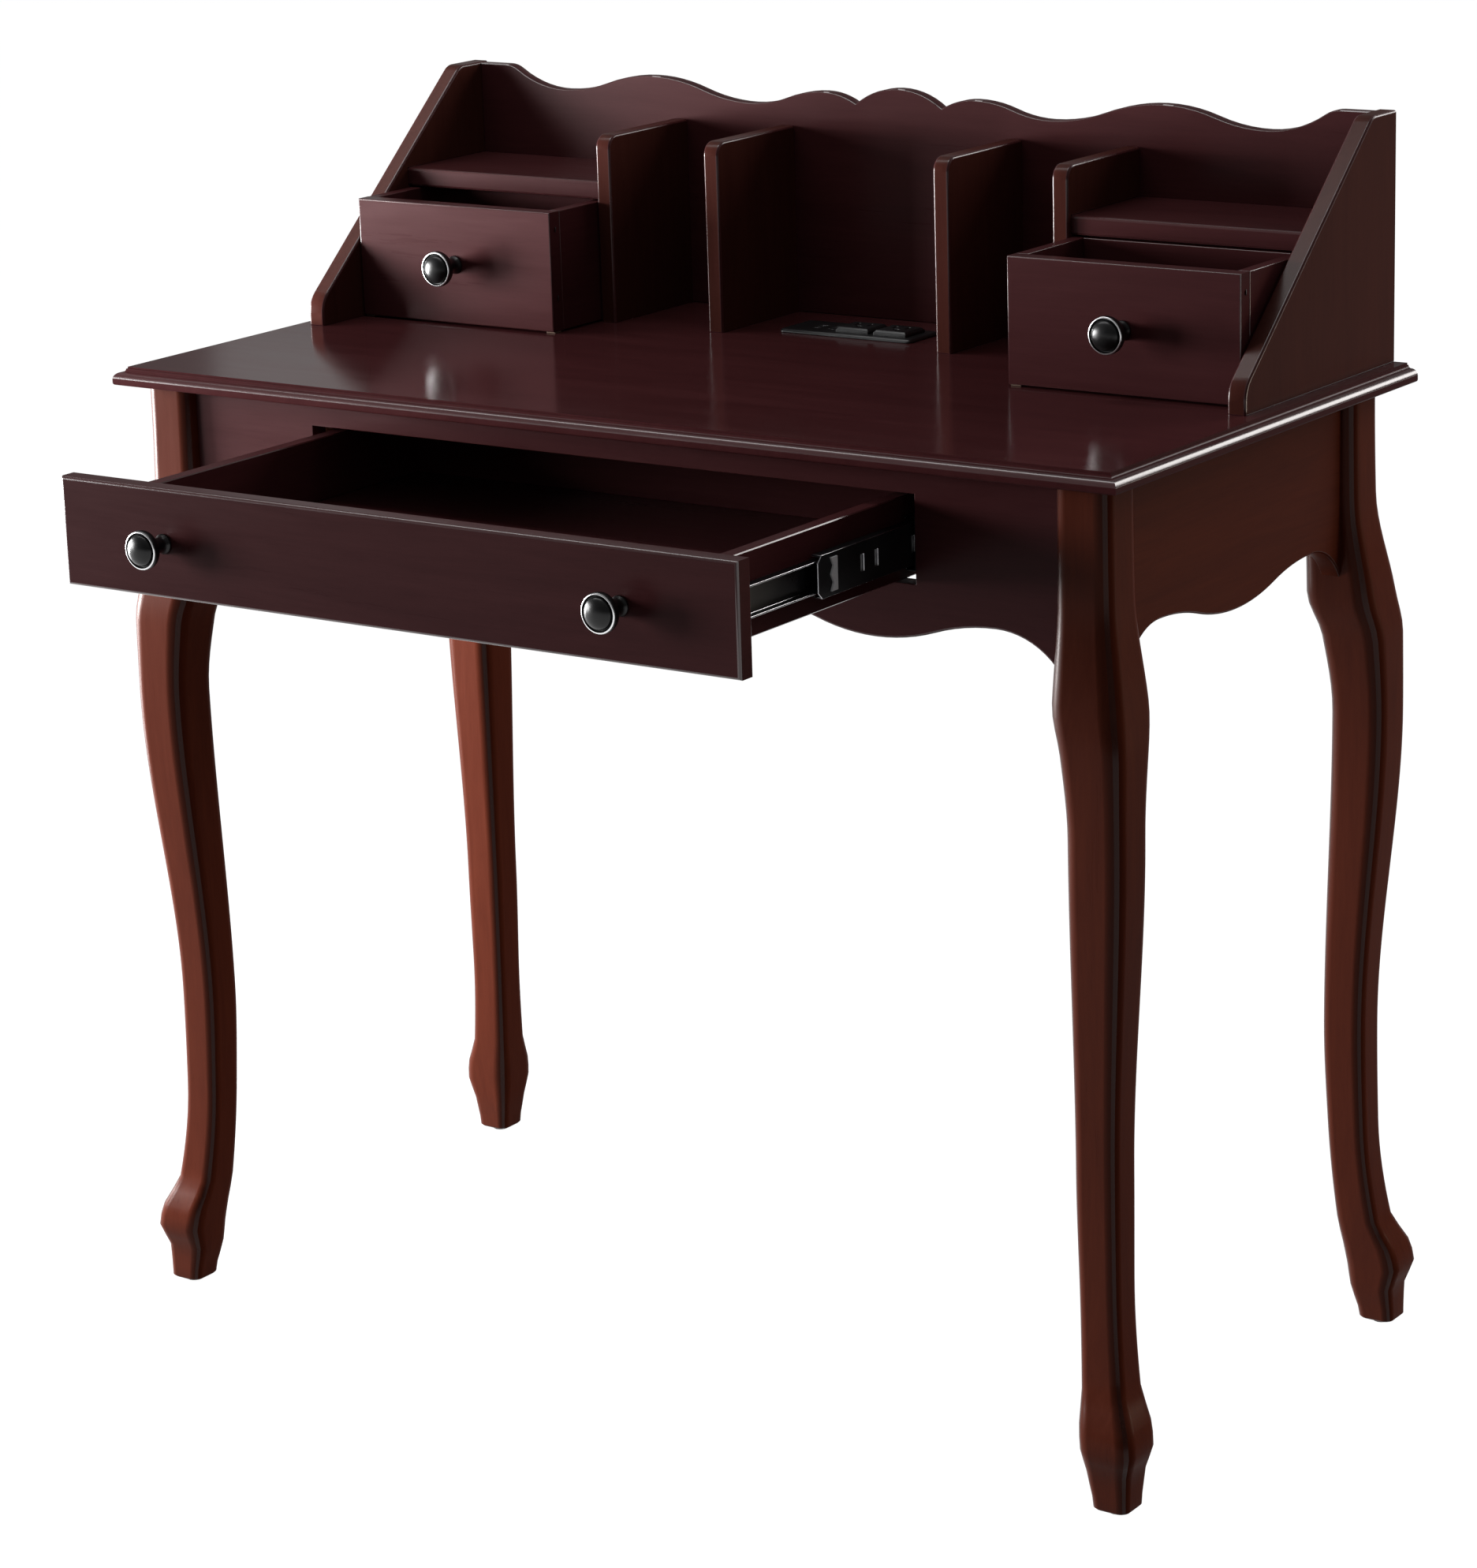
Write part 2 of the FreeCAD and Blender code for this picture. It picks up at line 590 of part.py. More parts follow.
def make_inner_cage():
    race = MIDDLE_HEIGHT / 2 - SLIDE_WALL
    ball = (race - INNER_HEIGHT / 2) / 2 - BALL_CLEARANCE
    tip = SLIDE_WIDTH - SLIDE_WALL - CAGE_TIP_GAP
    return make_cage(MIDDLE_BACK + SLIDE_WALL + INNER_CAGE_GAP, tip, race, ball, INNER_BALL_PLACE, 0.75)


def make_slide_rail():
    return box((opening_side, opening_side + RAIL_THICKNESS), (apron_front_back, apron_rear_front),
               (opening_bottom, opening_top))


# Knobs

def make_knob(x, face, z):
    """Knob with a rimmed, domed head on a waisted neck, standing out towards -Y from a drawer front's face."""
    foot = KNOB_RADIUS - KNOB_RIM_WIDTH - KNOB_GROOVE
    shaft = [Vec(KNOB_BASE, 0, 0), Vec(KNOB_BASE, 0, KNOB_BASE_HEIGHT), Vec(KNOB_WAIST, 0, KNOB_WAIST_PLACE)]
    head = [Vec(KNOB_RADIUS, 0, KNOB_BACK), Vec(KNOB_RADIUS, 0, KNOB_RIM - KNOB_RIM_EDGE),
            Vec(KNOB_RADIUS - KNOB_RIM_EDGE, 0, KNOB_RIM), Vec(foot + KNOB_GROOVE, 0, KNOB_RIM - KNOB_RIM_FALL),
            Vec(foot, 0, KNOB_RIM - KNOB_GROOVE)]
    neck = arc_from(shaft[-1], Vec(KNOB_FLARE, 0, 1).normalize(), head[0]).discretize(KNOB_STEPS)
    dome = arc_from(Vec(KNOB_TIP, 0, KNOB_REACH), Vec(1, 0, 0), head[-1]).discretize(KNOB_STEPS)
    profile = shaft + neck[1:-1] + head + dome[-2::-1]
    knob = stacked([(point.x, point.z) for point in profile], KNOB_SIDES, Vec(0, 0, 0))
    knob.Placement = FreeCAD.Placement(Vec(x, face, z), FreeCAD.Rotation(Vec(0, 0, 1), Vec(0, -1, 0)))
    return knob


# Drawers

def make_drawer_box(x, y, z, wall):
    """Sides, back and bottom of a drawer behind its front; the bottom sits in grooves of all the rest."""
    sides = {"left": box((x[0], x[0] + wall), y, z), "right": box((x[1] - wall, x[1]), y, z)}
    back = box((x[0] + wall, x[1] - wall), (y[1] - wall, y[1]), z)
    reach = wall - GROOVE_DEPTH
    low = z[0] + BOTTOM_RISE
    bottom = box((x[0] + reach, x[1] - reach), (y[0] - GROOVE_DEPTH, y[1] - reach), (low, low + BOTTOM_THICKNESS))
    return {name: side.cut(bottom) for name, side in sides.items()}, back.cut(bottom), bottom


def make_wide_drawer():
    width = opening_side + FRONT_OVERLAP_SIDE
    front = box((-width, width), (drawer_face, drawer_start), (front_low, front_high))
    front = eased(front, FRONT_ROUND, lambda b: b.YMax < drawer_face + 0.01)
    sides, back, bottom = make_drawer_box((-drawer_side, drawer_side), (drawer_start, drawer_end),
                                          (drawer_low, drawer_high), DRAWER_WALL)
    pieces = {"drawer_front": front.cut(bottom), "drawer_back": back, "drawer_bottom": bottom}
    for name, side in sides.items():
        pieces["drawer_side_" + name] = side
    middle = (front_low + front_high) / 2
    knobs = [make_knob(x, drawer_face, middle) for x in (-KNOB_SPREAD / 2, KNOB_SPREAD / 2)]
    pieces["drawer_knobs"] = Part.makeCompound(knobs)
    return pieces


def make_small_drawer(name, x):
    face = divider_front - SMALL_OPEN[name]
    z = (small_low, small_low + SMALL_HEIGHT)
    end = face + SMALL_DEPTH
    front = box(x, (face, face + SMALL_FRONT), z)
    front = bevelled(front, SMALL_EASE, lambda b: b.YMax < face + 0.01)
    sides, back, bottom = make_drawer_box(x, (face + SMALL_FRONT, end), z, SMALL_WALL)
    reach = SMALL_WALL / 2
    half = PAD_WIDTH / 2
    pads = [box((px - half, px + half), (py - half, py + half), (small_low - PAD_HEIGHT, small_low))
            for px in (x[0] + reach, x[1] - reach) for py in (face + SMALL_FRONT / 2, end - reach)]
    knob = make_knob((x[0] + x[1]) / 2, face, (z[0] + z[1]) / 2)
    pieces = {"front": front.cut(bottom), "side_left": sides["left"], "side_right": sides["right"], "back": back,
              "bottom": bottom, "knob": knob, "pads": Part.makeCompound(pads)}
    return {"small_drawer_" + name + "_" + piece: shape for piece, shape in pieces.items()}


# Hutch

def make_shelf():
    return box((bay_inner - SHELF_HOUSING, hutch_inside + SHELF_HOUSING), (shelf_front, back_front),
               (shelf_low, shelf_low + SHELF_THICKNESS))


def make_hutch_side():
    front = top_rear - HUTCH_DEPTH
    crest = TOP_HEIGHT + HUTCH_HEIGHT
    outline = [(front, TOP_HEIGHT), (front, TOP_HEIGHT + SIDE_TOE), (top_rear - SIDE_CREST, crest),
               (top_rear, crest), (top_rear, TOP_HEIGHT)]
    side = plate([Vec(hutch_inside, y, z) for y, z in outline], Vec(SIDE_THICKNESS, 0, 0))
    toe = TOP_HEIGHT + SIDE_TOE
    side = eased(side, SIDE_TOE_ROUND, lambda b: b.XLength > 1 and b.YMax < front + 0.01 and b.ZMin > toe - 0.01)
    side = eased(side, SIDE_CREST_ROUND,
                 lambda b: b.XLength > 1 and b.ZMin > crest - 0.01 and b.YMax < top_rear - 0.01)
    side = bevelled(side, EDGE_EASE, lambda b: b.XLength < 0.01 and b.ZMax > TOP_HEIGHT + 1 and b.YMin < top_rear - 1)
    return side.cut(make_shelf())


def make_hutch_back():
    def point(x, height):
        return Vec(x, back_front, TOP_HEIGHT + height)

    shoulder = HUTCH_HEIGHT - BACK_DROP
    start = point(hutch_inside, shoulder)
    brink = point(hutch_inside - BACK_SHOULDER, shoulder)
    waves = [point(*SCALLOP_OUTER_DIP), point(*SCALLOP_OUTER_CREST), point(*SCALLOP_INNER_DIP),
             point(*SCALLOP_SMALL_CREST)]
    bend = brink + (waves[0] - brink) * SHOULDER_SHARE
    fall = [lobe(brink, bend), lobe(waves[0], bend)]
    cusp = point(*SCALLOP_CUSP)
    centre = point(0, SCALLOP_CENTRE)
    right = [line(start, brink)] + fall + wave(waves) + [lobe(waves[-1], cusp), lobe(centre, cusp)]
    left = [mirrored(edge) for edge in right]
    rim = [line(start, point(hutch_inside, 0)), line(point(hutch_inside, 0), point(-hutch_inside, 0)),
           line(point(-hutch_inside, 0), point(-hutch_inside, shoulder))]
    return closed_face(right + left + rim).extrude(Vec(0, BACK_THICKNESS, 0))


def make_divider(inner):
    divider = box((inner, inner + DIVIDER_THICKNESS), (divider_front, back_front),
                  (TOP_HEIGHT, TOP_HEIGHT + DIVIDER_HEIGHT))
    crest = TOP_HEIGHT + DIVIDER_HEIGHT
    divider = eased(divider, DIVIDER_ROUND,
                    lambda b: b.XLength > 1 and b.ZMin > crest - 0.01 and b.YMax < divider_front + 0.01)
    divider = bevelled(divider, EDGE_EASE,
                       lambda b: b.XLength < 0.01 and b.ZMax > TOP_HEIGHT + 1 and b.YMin < back_front - 1)
    return divider.cut(make_shelf())


def make_shelf_board():
    return bevelled(make_shelf(), EDGE_EASE, lambda b: b.YMax < shelf_front + 0.01 and b.XLength > 1)


# Power dock

def dock_row():
    """Middles of the two ports and of the two sockets, spread along the dock's body."""
    body = DOCK_WIDTH - 2 * DOCK_BODY_INSET
    spare = body - 2 * PORT_WIDTH - 2 * SOCKET_WIDTH
    place = -body / 2
    middles = []
    for share, width in zip(DOCK_SPACING, (PORT_WIDTH, PORT_WIDTH, SOCKET_WIDTH, SOCKET_WIDTH)):
        place += spare * share + width
        middles.append(place - width / 2)
    return middles[:2], middles[2:]


def dock_seats():
    """Blocks that the ports and sockets take out of the housing."""
    port_places, socket_places = dock_row()
    ports = [box((x - PORT_WIDTH / 2, x + PORT_WIDTH / 2),
                 (dock_middle - PORT_LENGTH / 2, dock_middle + PORT_LENGTH / 2),
                 (dock_face - PORT_SUNK, dock_face)) for x in port_places]
    sockets = [box((x - SOCKET_WIDTH / 2, x + SOCKET_WIDTH / 2),
                   (dock_middle - SOCKET_DEPTH / 2, dock_middle + SOCKET_DEPTH / 2),
                   (dock_face - SOCKET_SUNK, dock_face + SOCKET_PROUD)) for x in socket_places]
    return ports, sockets


def make_dock_housing():
    flange = box((-DOCK_WIDTH / 2, DOCK_WIDTH / 2), (dock_front, dock_back), (TOP_HEIGHT, dock_face))
    flange = eased(flange, DOCK_CORNER, lambda b: b.ZLength > 1)
    flange = bevelled(flange, DOCK_FLANGE / 2, lambda b: b.ZMin > dock_face - 0.01)
    inset = DOCK_BODY_INSET
    body = box((inset - DOCK_WIDTH / 2, DOCK_WIDTH / 2 - inset), (dock_front + inset, dock_back - inset),
               (underside - DOCK_HANG, TOP_HEIGHT))
    level = underside - DOCK_HANG / 2
    inlet = box((inset - DOCK_WIDTH / 2, inset - DOCK_WIDTH / 2 + INLET_DEPTH),
                (dock_middle - INLET_WIDTH / 2, dock_middle + INLET_WIDTH / 2),
                (level - INLET_HEIGHT / 2, level + INLET_HEIGHT / 2))
    ports, sockets = dock_seats()
    return flange.fuse(body).removeSplitter().cut(ports + sockets + [inlet])


def make_dock_sockets():
    blocks = []
    high = dock_face + SOCKET_PROUD
    deep = (high - PIN_DEPTH, high + 1)
    for block, x in zip(dock_seats()[1], dock_row()[1]):
        block = bevelled(block, SOCKET_BEVEL, lambda b: b.ZMin > high - 0.01)
        pins = [box((x + side * SLIT_SPREAD / 2 - SLIT_WIDTH / 2, x + side * SLIT_SPREAD / 2 + SLIT_WIDTH / 2),
                    (dock_middle, dock_middle + SLIT_LENGTH), deep) for side in (-1, 1)]
        pins.append(box((x - EARTH_WIDTH / 2, x + EARTH_WIDTH / 2),
                        (dock_middle - SLIT_LENGTH, dock_middle - SLIT_LENGTH + EARTH_WIDTH), deep))
        blocks.append(block.cut(pins))
    return Part.makeCompound(blocks)


def make_dock_ports():
    """Open shells, each with a contact tongue on its floor."""
    ports = []
    for block, x in zip(dock_seats()[0], dock_row()[0]):
        shell = block.BoundBox
        hollow = box((shell.XMin + PORT_WALL, shell.XMax - PORT_WALL), (shell.YMin + PORT_WALL, shell.YMax - PORT_WALL),
                     (shell.ZMin + PORT_WALL, shell.ZMax))
        tongue = box((x - PORT_TONGUE / 2, x + PORT_TONGUE / 2),
                     (shell.YMin + 2 * PORT_WALL, shell.YMax - 2 * PORT_WALL),
                     (shell.ZMin, shell.ZMax - 2 * PORT_WALL))
        ports.append(block.cut(hollow).fuse(tongue).removeSplitter())
    return Part.makeCompound(ports)


# All pieces by name

pieces = {"tabletop": make_tabletop(), "front_apron": make_front_apron(), "rear_apron": make_rear_apron(),
          "hutch_back": make_hutch_back(), "dock_housing": make_dock_housing(), "dock_sockets": make_dock_sockets(),
          "dock_ports": make_dock_ports()}
for corner, leg in at_corners(make_leg()).items():
    pieces["leg_" + corner] = leg
for group, shape in (("foot_glides", make_glide()), ("corner_blocks", make_corner_block())):
    pieces[group] = Part.makeCompound(list(at_corners(shape).values()))
paired = {"side_apron": make_side_apron(), "slide_rail": make_slide_rail(), "slide_outer": make_outer_member(),
          "slide_middle": make_middle_member(), "slide_inner": make_inner_member(), "slide_stop": make_slide_stop(),
          "cage_outer": make_outer_cage(), "cage_inner": make_inner_cage(), "hutch_side": make_hutch_side(),
          "divider_inner": make_divider(inner_divider), "divider_outer": make_divider(outer_divider),
          "shelf": make_shelf_board()}
for group, shape in paired.items():
    for name, copy in both_sides(shape).items():
        pieces[group + "_" + name] = copy
pieces.update(make_wide_drawer())
pieces.update(make_small_drawer("left", (-small_outer, -small_inner)))
pieces.update(make_small_drawer("right", (small_inner, small_outer)))

os.makedirs("parts", exist_ok=True)
for name, shape in pieces.items():
    shape.exportStep(os.path.join("parts", name + ".step"))
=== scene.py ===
import math

import bmesh
import bpy
from mathutils import Matrix, Vector


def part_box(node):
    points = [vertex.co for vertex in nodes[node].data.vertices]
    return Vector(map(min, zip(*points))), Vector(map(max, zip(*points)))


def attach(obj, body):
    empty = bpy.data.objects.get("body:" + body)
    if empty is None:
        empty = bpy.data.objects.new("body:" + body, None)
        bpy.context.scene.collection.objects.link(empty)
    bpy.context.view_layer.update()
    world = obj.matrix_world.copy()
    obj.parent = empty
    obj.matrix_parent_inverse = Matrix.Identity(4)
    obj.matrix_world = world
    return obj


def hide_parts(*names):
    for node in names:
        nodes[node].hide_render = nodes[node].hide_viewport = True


# Writing desk with a hutch: the CAD boards keep their shapes and get stained wood, and the legs, knobs
# and small fasteners are modelled here. Metres, in the frame of the CAD: X right, Y to the rear, Z up.

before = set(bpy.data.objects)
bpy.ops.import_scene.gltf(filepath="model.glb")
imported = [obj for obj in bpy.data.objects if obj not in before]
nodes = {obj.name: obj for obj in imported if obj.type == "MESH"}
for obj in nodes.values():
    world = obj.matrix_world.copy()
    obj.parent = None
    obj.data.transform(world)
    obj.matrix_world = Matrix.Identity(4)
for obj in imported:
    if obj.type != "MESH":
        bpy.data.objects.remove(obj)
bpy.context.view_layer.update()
scene = bpy.context.scene
scene.view_settings.view_transform = "Standard"
bpy.ops.object.select_all(action="DESELECT")

# Places read from the frame
apron_low, apron_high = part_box("front_apron")
rear_apron_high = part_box("rear_apron")[1]
top_low, top_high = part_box("tabletop")
POST_WIDTH = 0.0445
APRON_SETBACK = 0.010
post_side = apron_high.x + POST_WIDTH
post_front = apron_low.y - APRON_SETBACK
post_rear = rear_apron_high.y + APRON_SETBACK


# Node groups and finishes

def make_group(name, inputs, outputs):
    """Empty shader group with named sockets, and its input and output nodes."""
    group = bpy.data.node_groups.new(name, "ShaderNodeTree")
    for kind, label, value in inputs:
        socket = group.interface.new_socket(label, in_out="INPUT", socket_type="NodeSocket" + kind)
        if value is not None:
            socket.default_value = value
    for kind, label in outputs:
        group.interface.new_socket(label, in_out="OUTPUT", socket_type="NodeSocket" + kind)
    return group, group.nodes.new("NodeGroupInput"), group.nodes.new("NodeGroupOutput")


def add_node(tree, kind, values=None, links=None, **settings):
    """Node with its settings, socket values and links from other sockets."""
    node = tree.nodes.new("ShaderNode" + kind)
    for key, value in settings.items():
        setattr(node, key, value)
    for key, value in (values or {}).items():
        node.inputs[key].default_value = value
    for key, socket in (links or {}).items():
        tree.links.new(socket, node.inputs[key])
    return node


def stretched_noise(tree, vector, stretch, detail, roughness, distortion=0.0):
    """Noise drawn out along the grain."""
    mapping = add_node(tree, "Mapping", {"Scale": stretch}, {"Vector": vector})
    noise = add_node(tree, "TexNoise", {"Scale": 1.0, "Detail": detail, "Roughness": roughness,
                                        "Distortion": distortion}, {"Vector": mapping.outputs[0]})
    return noise.outputs["Fac"]


def between(tree, value, low, high, to_low=0.0, to_high=1.0):
    """Value brought from one range to another, and kept inside it."""
    ends = {"From Min": low, "From Max": high, "To Min": to_low, "To Max": to_high}
    return add_node(tree, "MapRange", ends, {"Value": value}, clamp=True).outputs[0]


def math_node(tree, operation, first, second):
    node = add_node(tree, "Math", operation=operation)
    for place, item in enumerate((first, second)):
        if isinstance(item, float):
            node.inputs[place].default_value = item
        else:
            tree.links.new(item, node.inputs[place])
    return node.outputs[0]


def mixed(tree, factor, first, second):
    """Colour between two colours or sockets."""
    node = add_node(tree, "Mix", data_type="RGBA")
    for label, item in ((0, factor), (6, first), (7, second)):
        if hasattr(item, "is_output"):
            tree.links.new(item, node.inputs[label])
        else:
            node.inputs[label].default_value = item
    return node.outputs[2]


def make_wood_figure():
    """Streaks, clouds and pores of wood whose grain runs along X."""
    group, given, result = make_group(
        "wood_figure",
        [("Vector", "Vector", None), ("Color", "Dark", (0.02, 0.006, 0.007, 1)),
         ("Color", "Light", (0.05, 0.016, 0.016, 1)), ("Color", "Pore", (0.008, 0.003, 0.003, 1)),
         ("Float", "Contrast", 1.0), ("Float", "Pores", 0.5)],
        [("Color", "Color"), ("Float", "Tone"), ("Float", "Pore Mask")])
    vector = given.outputs["Vector"]
    streaks = stretched_noise(group, vector, (5.0, 55.0, 55.0), 5.0, 0.6, 0.9)
    fine = stretched_noise(group, vector, (22.0, 420.0, 420.0), 3.0, 0.55)
    clouds = stretched_noise(group, vector, (1.7, 4.5, 4.5), 3.0, 0.5, 0.4)
    dashes = stretched_noise(group, vector, (120.0, 1900.0, 1900.0), 1.0, 0.4)
    tone = math_node(group, "ADD", math_node(group, "MULTIPLY", streaks, 0.45),
                     math_node(group, "ADD", math_node(group, "MULTIPLY", fine, 0.22),
                               math_node(group, "MULTIPLY", clouds, 0.33)))
    tone = between(group, tone, 0.36, 0.64)
    pores = math_node(group, "MULTIPLY", between(group, dashes, 0.62, 0.70), given.outputs["Pores"])
    shade = math_node(group, "MULTIPLY", tone, given.outputs["Contrast"])
    colour = mixed(group, shade, given.outputs["Dark"], given.outputs["Light"])
    colour = mixed(group, pores, colour, given.outputs["Pore"])
    for label, socket in (("Color", colour), ("Tone", tone), ("Pore Mask", pores)):
        group.links.new(socket, result.inputs[label])
    return group


def make_fine_grit():
    """Fine uneven grit of moulded or coated surfaces: a value about one half."""
    group, given, result = make_group("fine_grit", [("Vector", "Vector", None), ("Float", "Grain", 900.0)],
                                      [("Float", "Grit"), ("Float", "Smudge")])
    vector = given.outputs["Vector"]
    grit = add_node(group, "TexNoise", {"Detail": 2.0, "Roughness": 0.6},
                    {"Vector": vector, "Scale": given.outputs["Grain"]})
    smudge = add_node(group, "TexNoise", {"Scale": 28.0, "Detail": 3.0}, {"Vector": vector})
    group.links.new(grit.outputs["Fac"], result.inputs["Grit"])
    group.links.new(smudge.outputs["Fac"], result.inputs["Smudge"])
    return group


def make_rubbed_sheen():
    """Lacquer of hand-rubbed boards: none on upright faces, full on faces turned up."""
    group, given, result = make_group(
        "rubbed_sheen", [("Vector", "Normal", None), ("Float", "Upper Lacquer", 0.6)],
        [("Float", "Lacquer")])
    facing = add_node(group, "SeparateXYZ", links={"Vector": given.outputs["Normal"]})
    turned_up = between(group, facing.outputs["Z"], 0.35, 0.85)
    lacquer = math_node(group, "MULTIPLY", turned_up, given.outputs["Upper Lacquer"])
    group.links.new(lacquer, result.inputs["Lacquer"])
    return group


wood_figure = make_wood_figure()
fine_grit = make_fine_grit()
rubbed_sheen = make_rubbed_sheen()


def start_material(name, **constants):
    """Material with a Principled shader and its constant values, and the Object coordinates."""
    material = bpy.data.materials.new(name)
    material.use_nodes = True
    tree = material.node_tree
    shader = tree.nodes["Principled BSDF"]
    for label, value in constants.items():
        shader.inputs[label.replace("_", " ")].default_value = value
    coordinates = tree.nodes.new("ShaderNodeTexCoord").outputs["Object"]
    return material, tree, shader, coordinates


QUARTER_TURN = math.radians(90)
GRAIN_TURN = {"x": (0, 0, 0), "y": (0, 0, -QUARTER_TURN), "z": (0, QUARTER_TURN, 0)}
LACQUER_ROUGHNESS = 0.26
WOOD_RELIEF = 0.0004
GRIT_RELIEF = 0.0002


def stained_wood(name, grain, dark, light, pore, rough, sheen, lacquer=0.0, contrast=1.0, pores=0.5,
                 bump=0.12):
    """Stained wood: grain along one axis, sheen all over and lacquer on faces turned up."""
    material, tree, shader, coordinates = start_material(
        name, Specular_IOR_Level=sheen, Coat_Roughness=LACQUER_ROUGHNESS)
    if lacquer:
        rubbed = tree.nodes.new("ShaderNodeGroup")
        rubbed.node_tree = rubbed_sheen
        rubbed.inputs["Upper Lacquer"].default_value = lacquer
        tree.links.new(coordinates.node.outputs["Normal"], rubbed.inputs["Normal"])
        tree.links.new(rubbed.outputs["Lacquer"], shader.inputs["Coat Weight"])
    turned_axes = add_node(tree, "Mapping", {"Rotation": GRAIN_TURN[grain]}, {"Vector": coordinates})
    figure = tree.nodes.new("ShaderNodeGroup")
    figure.node_tree = wood_figure
    tree.links.new(turned_axes.outputs[0], figure.inputs["Vector"])
    for label, value in (("Dark", dark + (1,)), ("Light", light + (1,)), ("Pore", pore + (1,)),
                         ("Contrast", contrast), ("Pores", pores)):
        figure.inputs[label].default_value = value
    tree.links.new(figure.outputs["Color"], shader.inputs["Base Color"])
    tone = figure.outputs["Tone"]
    tree.links.new(between(tree, tone, 0.0, 1.0, *rough), shader.inputs["Roughness"])
    swell = math_node(tree, "MULTIPLY", tone, 0.15)
    height = math_node(tree, "SUBTRACT", swell, figure.outputs["Pore Mask"])
    relief = add_node(tree, "Bump", {"Strength": bump, "Distance": WOOD_RELIEF}, {"Height": height})
    tree.links.new(relief.outputs[0], shader.inputs["Normal"])
    return material


def gritty(name, colour, other, rough, grain=900.0, bump=0.06, **constants):
    """Moulded, painted or plated finish with fine grit and faint smudges."""
    material, tree, shader, coordinates = start_material(name, **constants)
    grit = tree.nodes.new("ShaderNodeGroup")
    grit.node_tree = fine_grit
    grit.inputs["Grain"].default_value = grain
    tree.links.new(coordinates, grit.inputs["Vector"])
    grains, smudge = grit.outputs["Grit"], grit.outputs["Smudge"]
    blend = math_node(tree, "ADD", math_node(tree, "MULTIPLY", grains, 0.5),
                      math_node(tree, "MULTIPLY", smudge, 0.5))
    paint = mixed(tree, between(tree, blend, 0.3, 0.7), colour + (1,), other + (1,))
    tree.links.new(paint, shader.inputs["Base Color"])
    tree.links.new(between(tree, smudge, 0.3, 0.7, *rough), shader.inputs["Roughness"])
    relief = add_node(tree, "Bump", {"Strength": bump, "Distance": GRIT_RELIEF}, {"Height": grains})
    tree.links.new(relief.outputs[0], shader.inputs["Normal"])
    return material


BOARD = dict(dark=(0.042, 0.0110, 0.0122), light=(0.072, 0.0195, 0.0210), pore=(0.020, 0.006, 0.006))
# Warmer copy of the board stain for the hutch sides and dividers: partly their own tone, partly painted
# warm light on the faces turned to the side
TAWNY = dict(dark=(0.045, 0.0128, 0.0098), light=(0.077, 0.0226, 0.0170), pore=(0.020, 0.006, 0.005))
WARM = dict(dark=(0.064, 0.0125, 0.0062), light=(0.120, 0.0265, 0.0130), pore=(0.028, 0.008, 0.005))
# Darker copy of the warm stain for the arrises: painted shade along the legs' corners and the side aprons'
# bevelled edges
WARM_PAINTED_SHADE = dict(dark=(0.036, 0.0075, 0.0042), light=(0.068, 0.0155, 0.0085), pore=(0.016, 0.005, 0.003))
SATIN = dict(rough=(0.26, 0.34), sheen=0.06, lacquer=0.36, contrast=0.45, pores=0.15, bump=0.03)
DULL = dict(rough=(0.30, 0.38), sheen=0.008, lacquer=0.36, contrast=0.45, pores=0.15, bump=0.03)
POLISHED = dict(rough=(0.12, 0.17), sheen=0.32, contrast=0.7, pores=0.25, bump=0.02)
ROUNDED = dict(rough=(0.20, 0.26), sheen=0.8, contrast=0.55, pores=0.1, bump=0.01)
ARRIS = dict(rough=(0.20, 0.28), sheen=0.42, contrast=0.9, pores=0.2, bump=0.03)
BURNISHED = dict(rough=(0.24, 0.32), sheen=0.14, contrast=0.6, pores=0.2, bump=0.03)
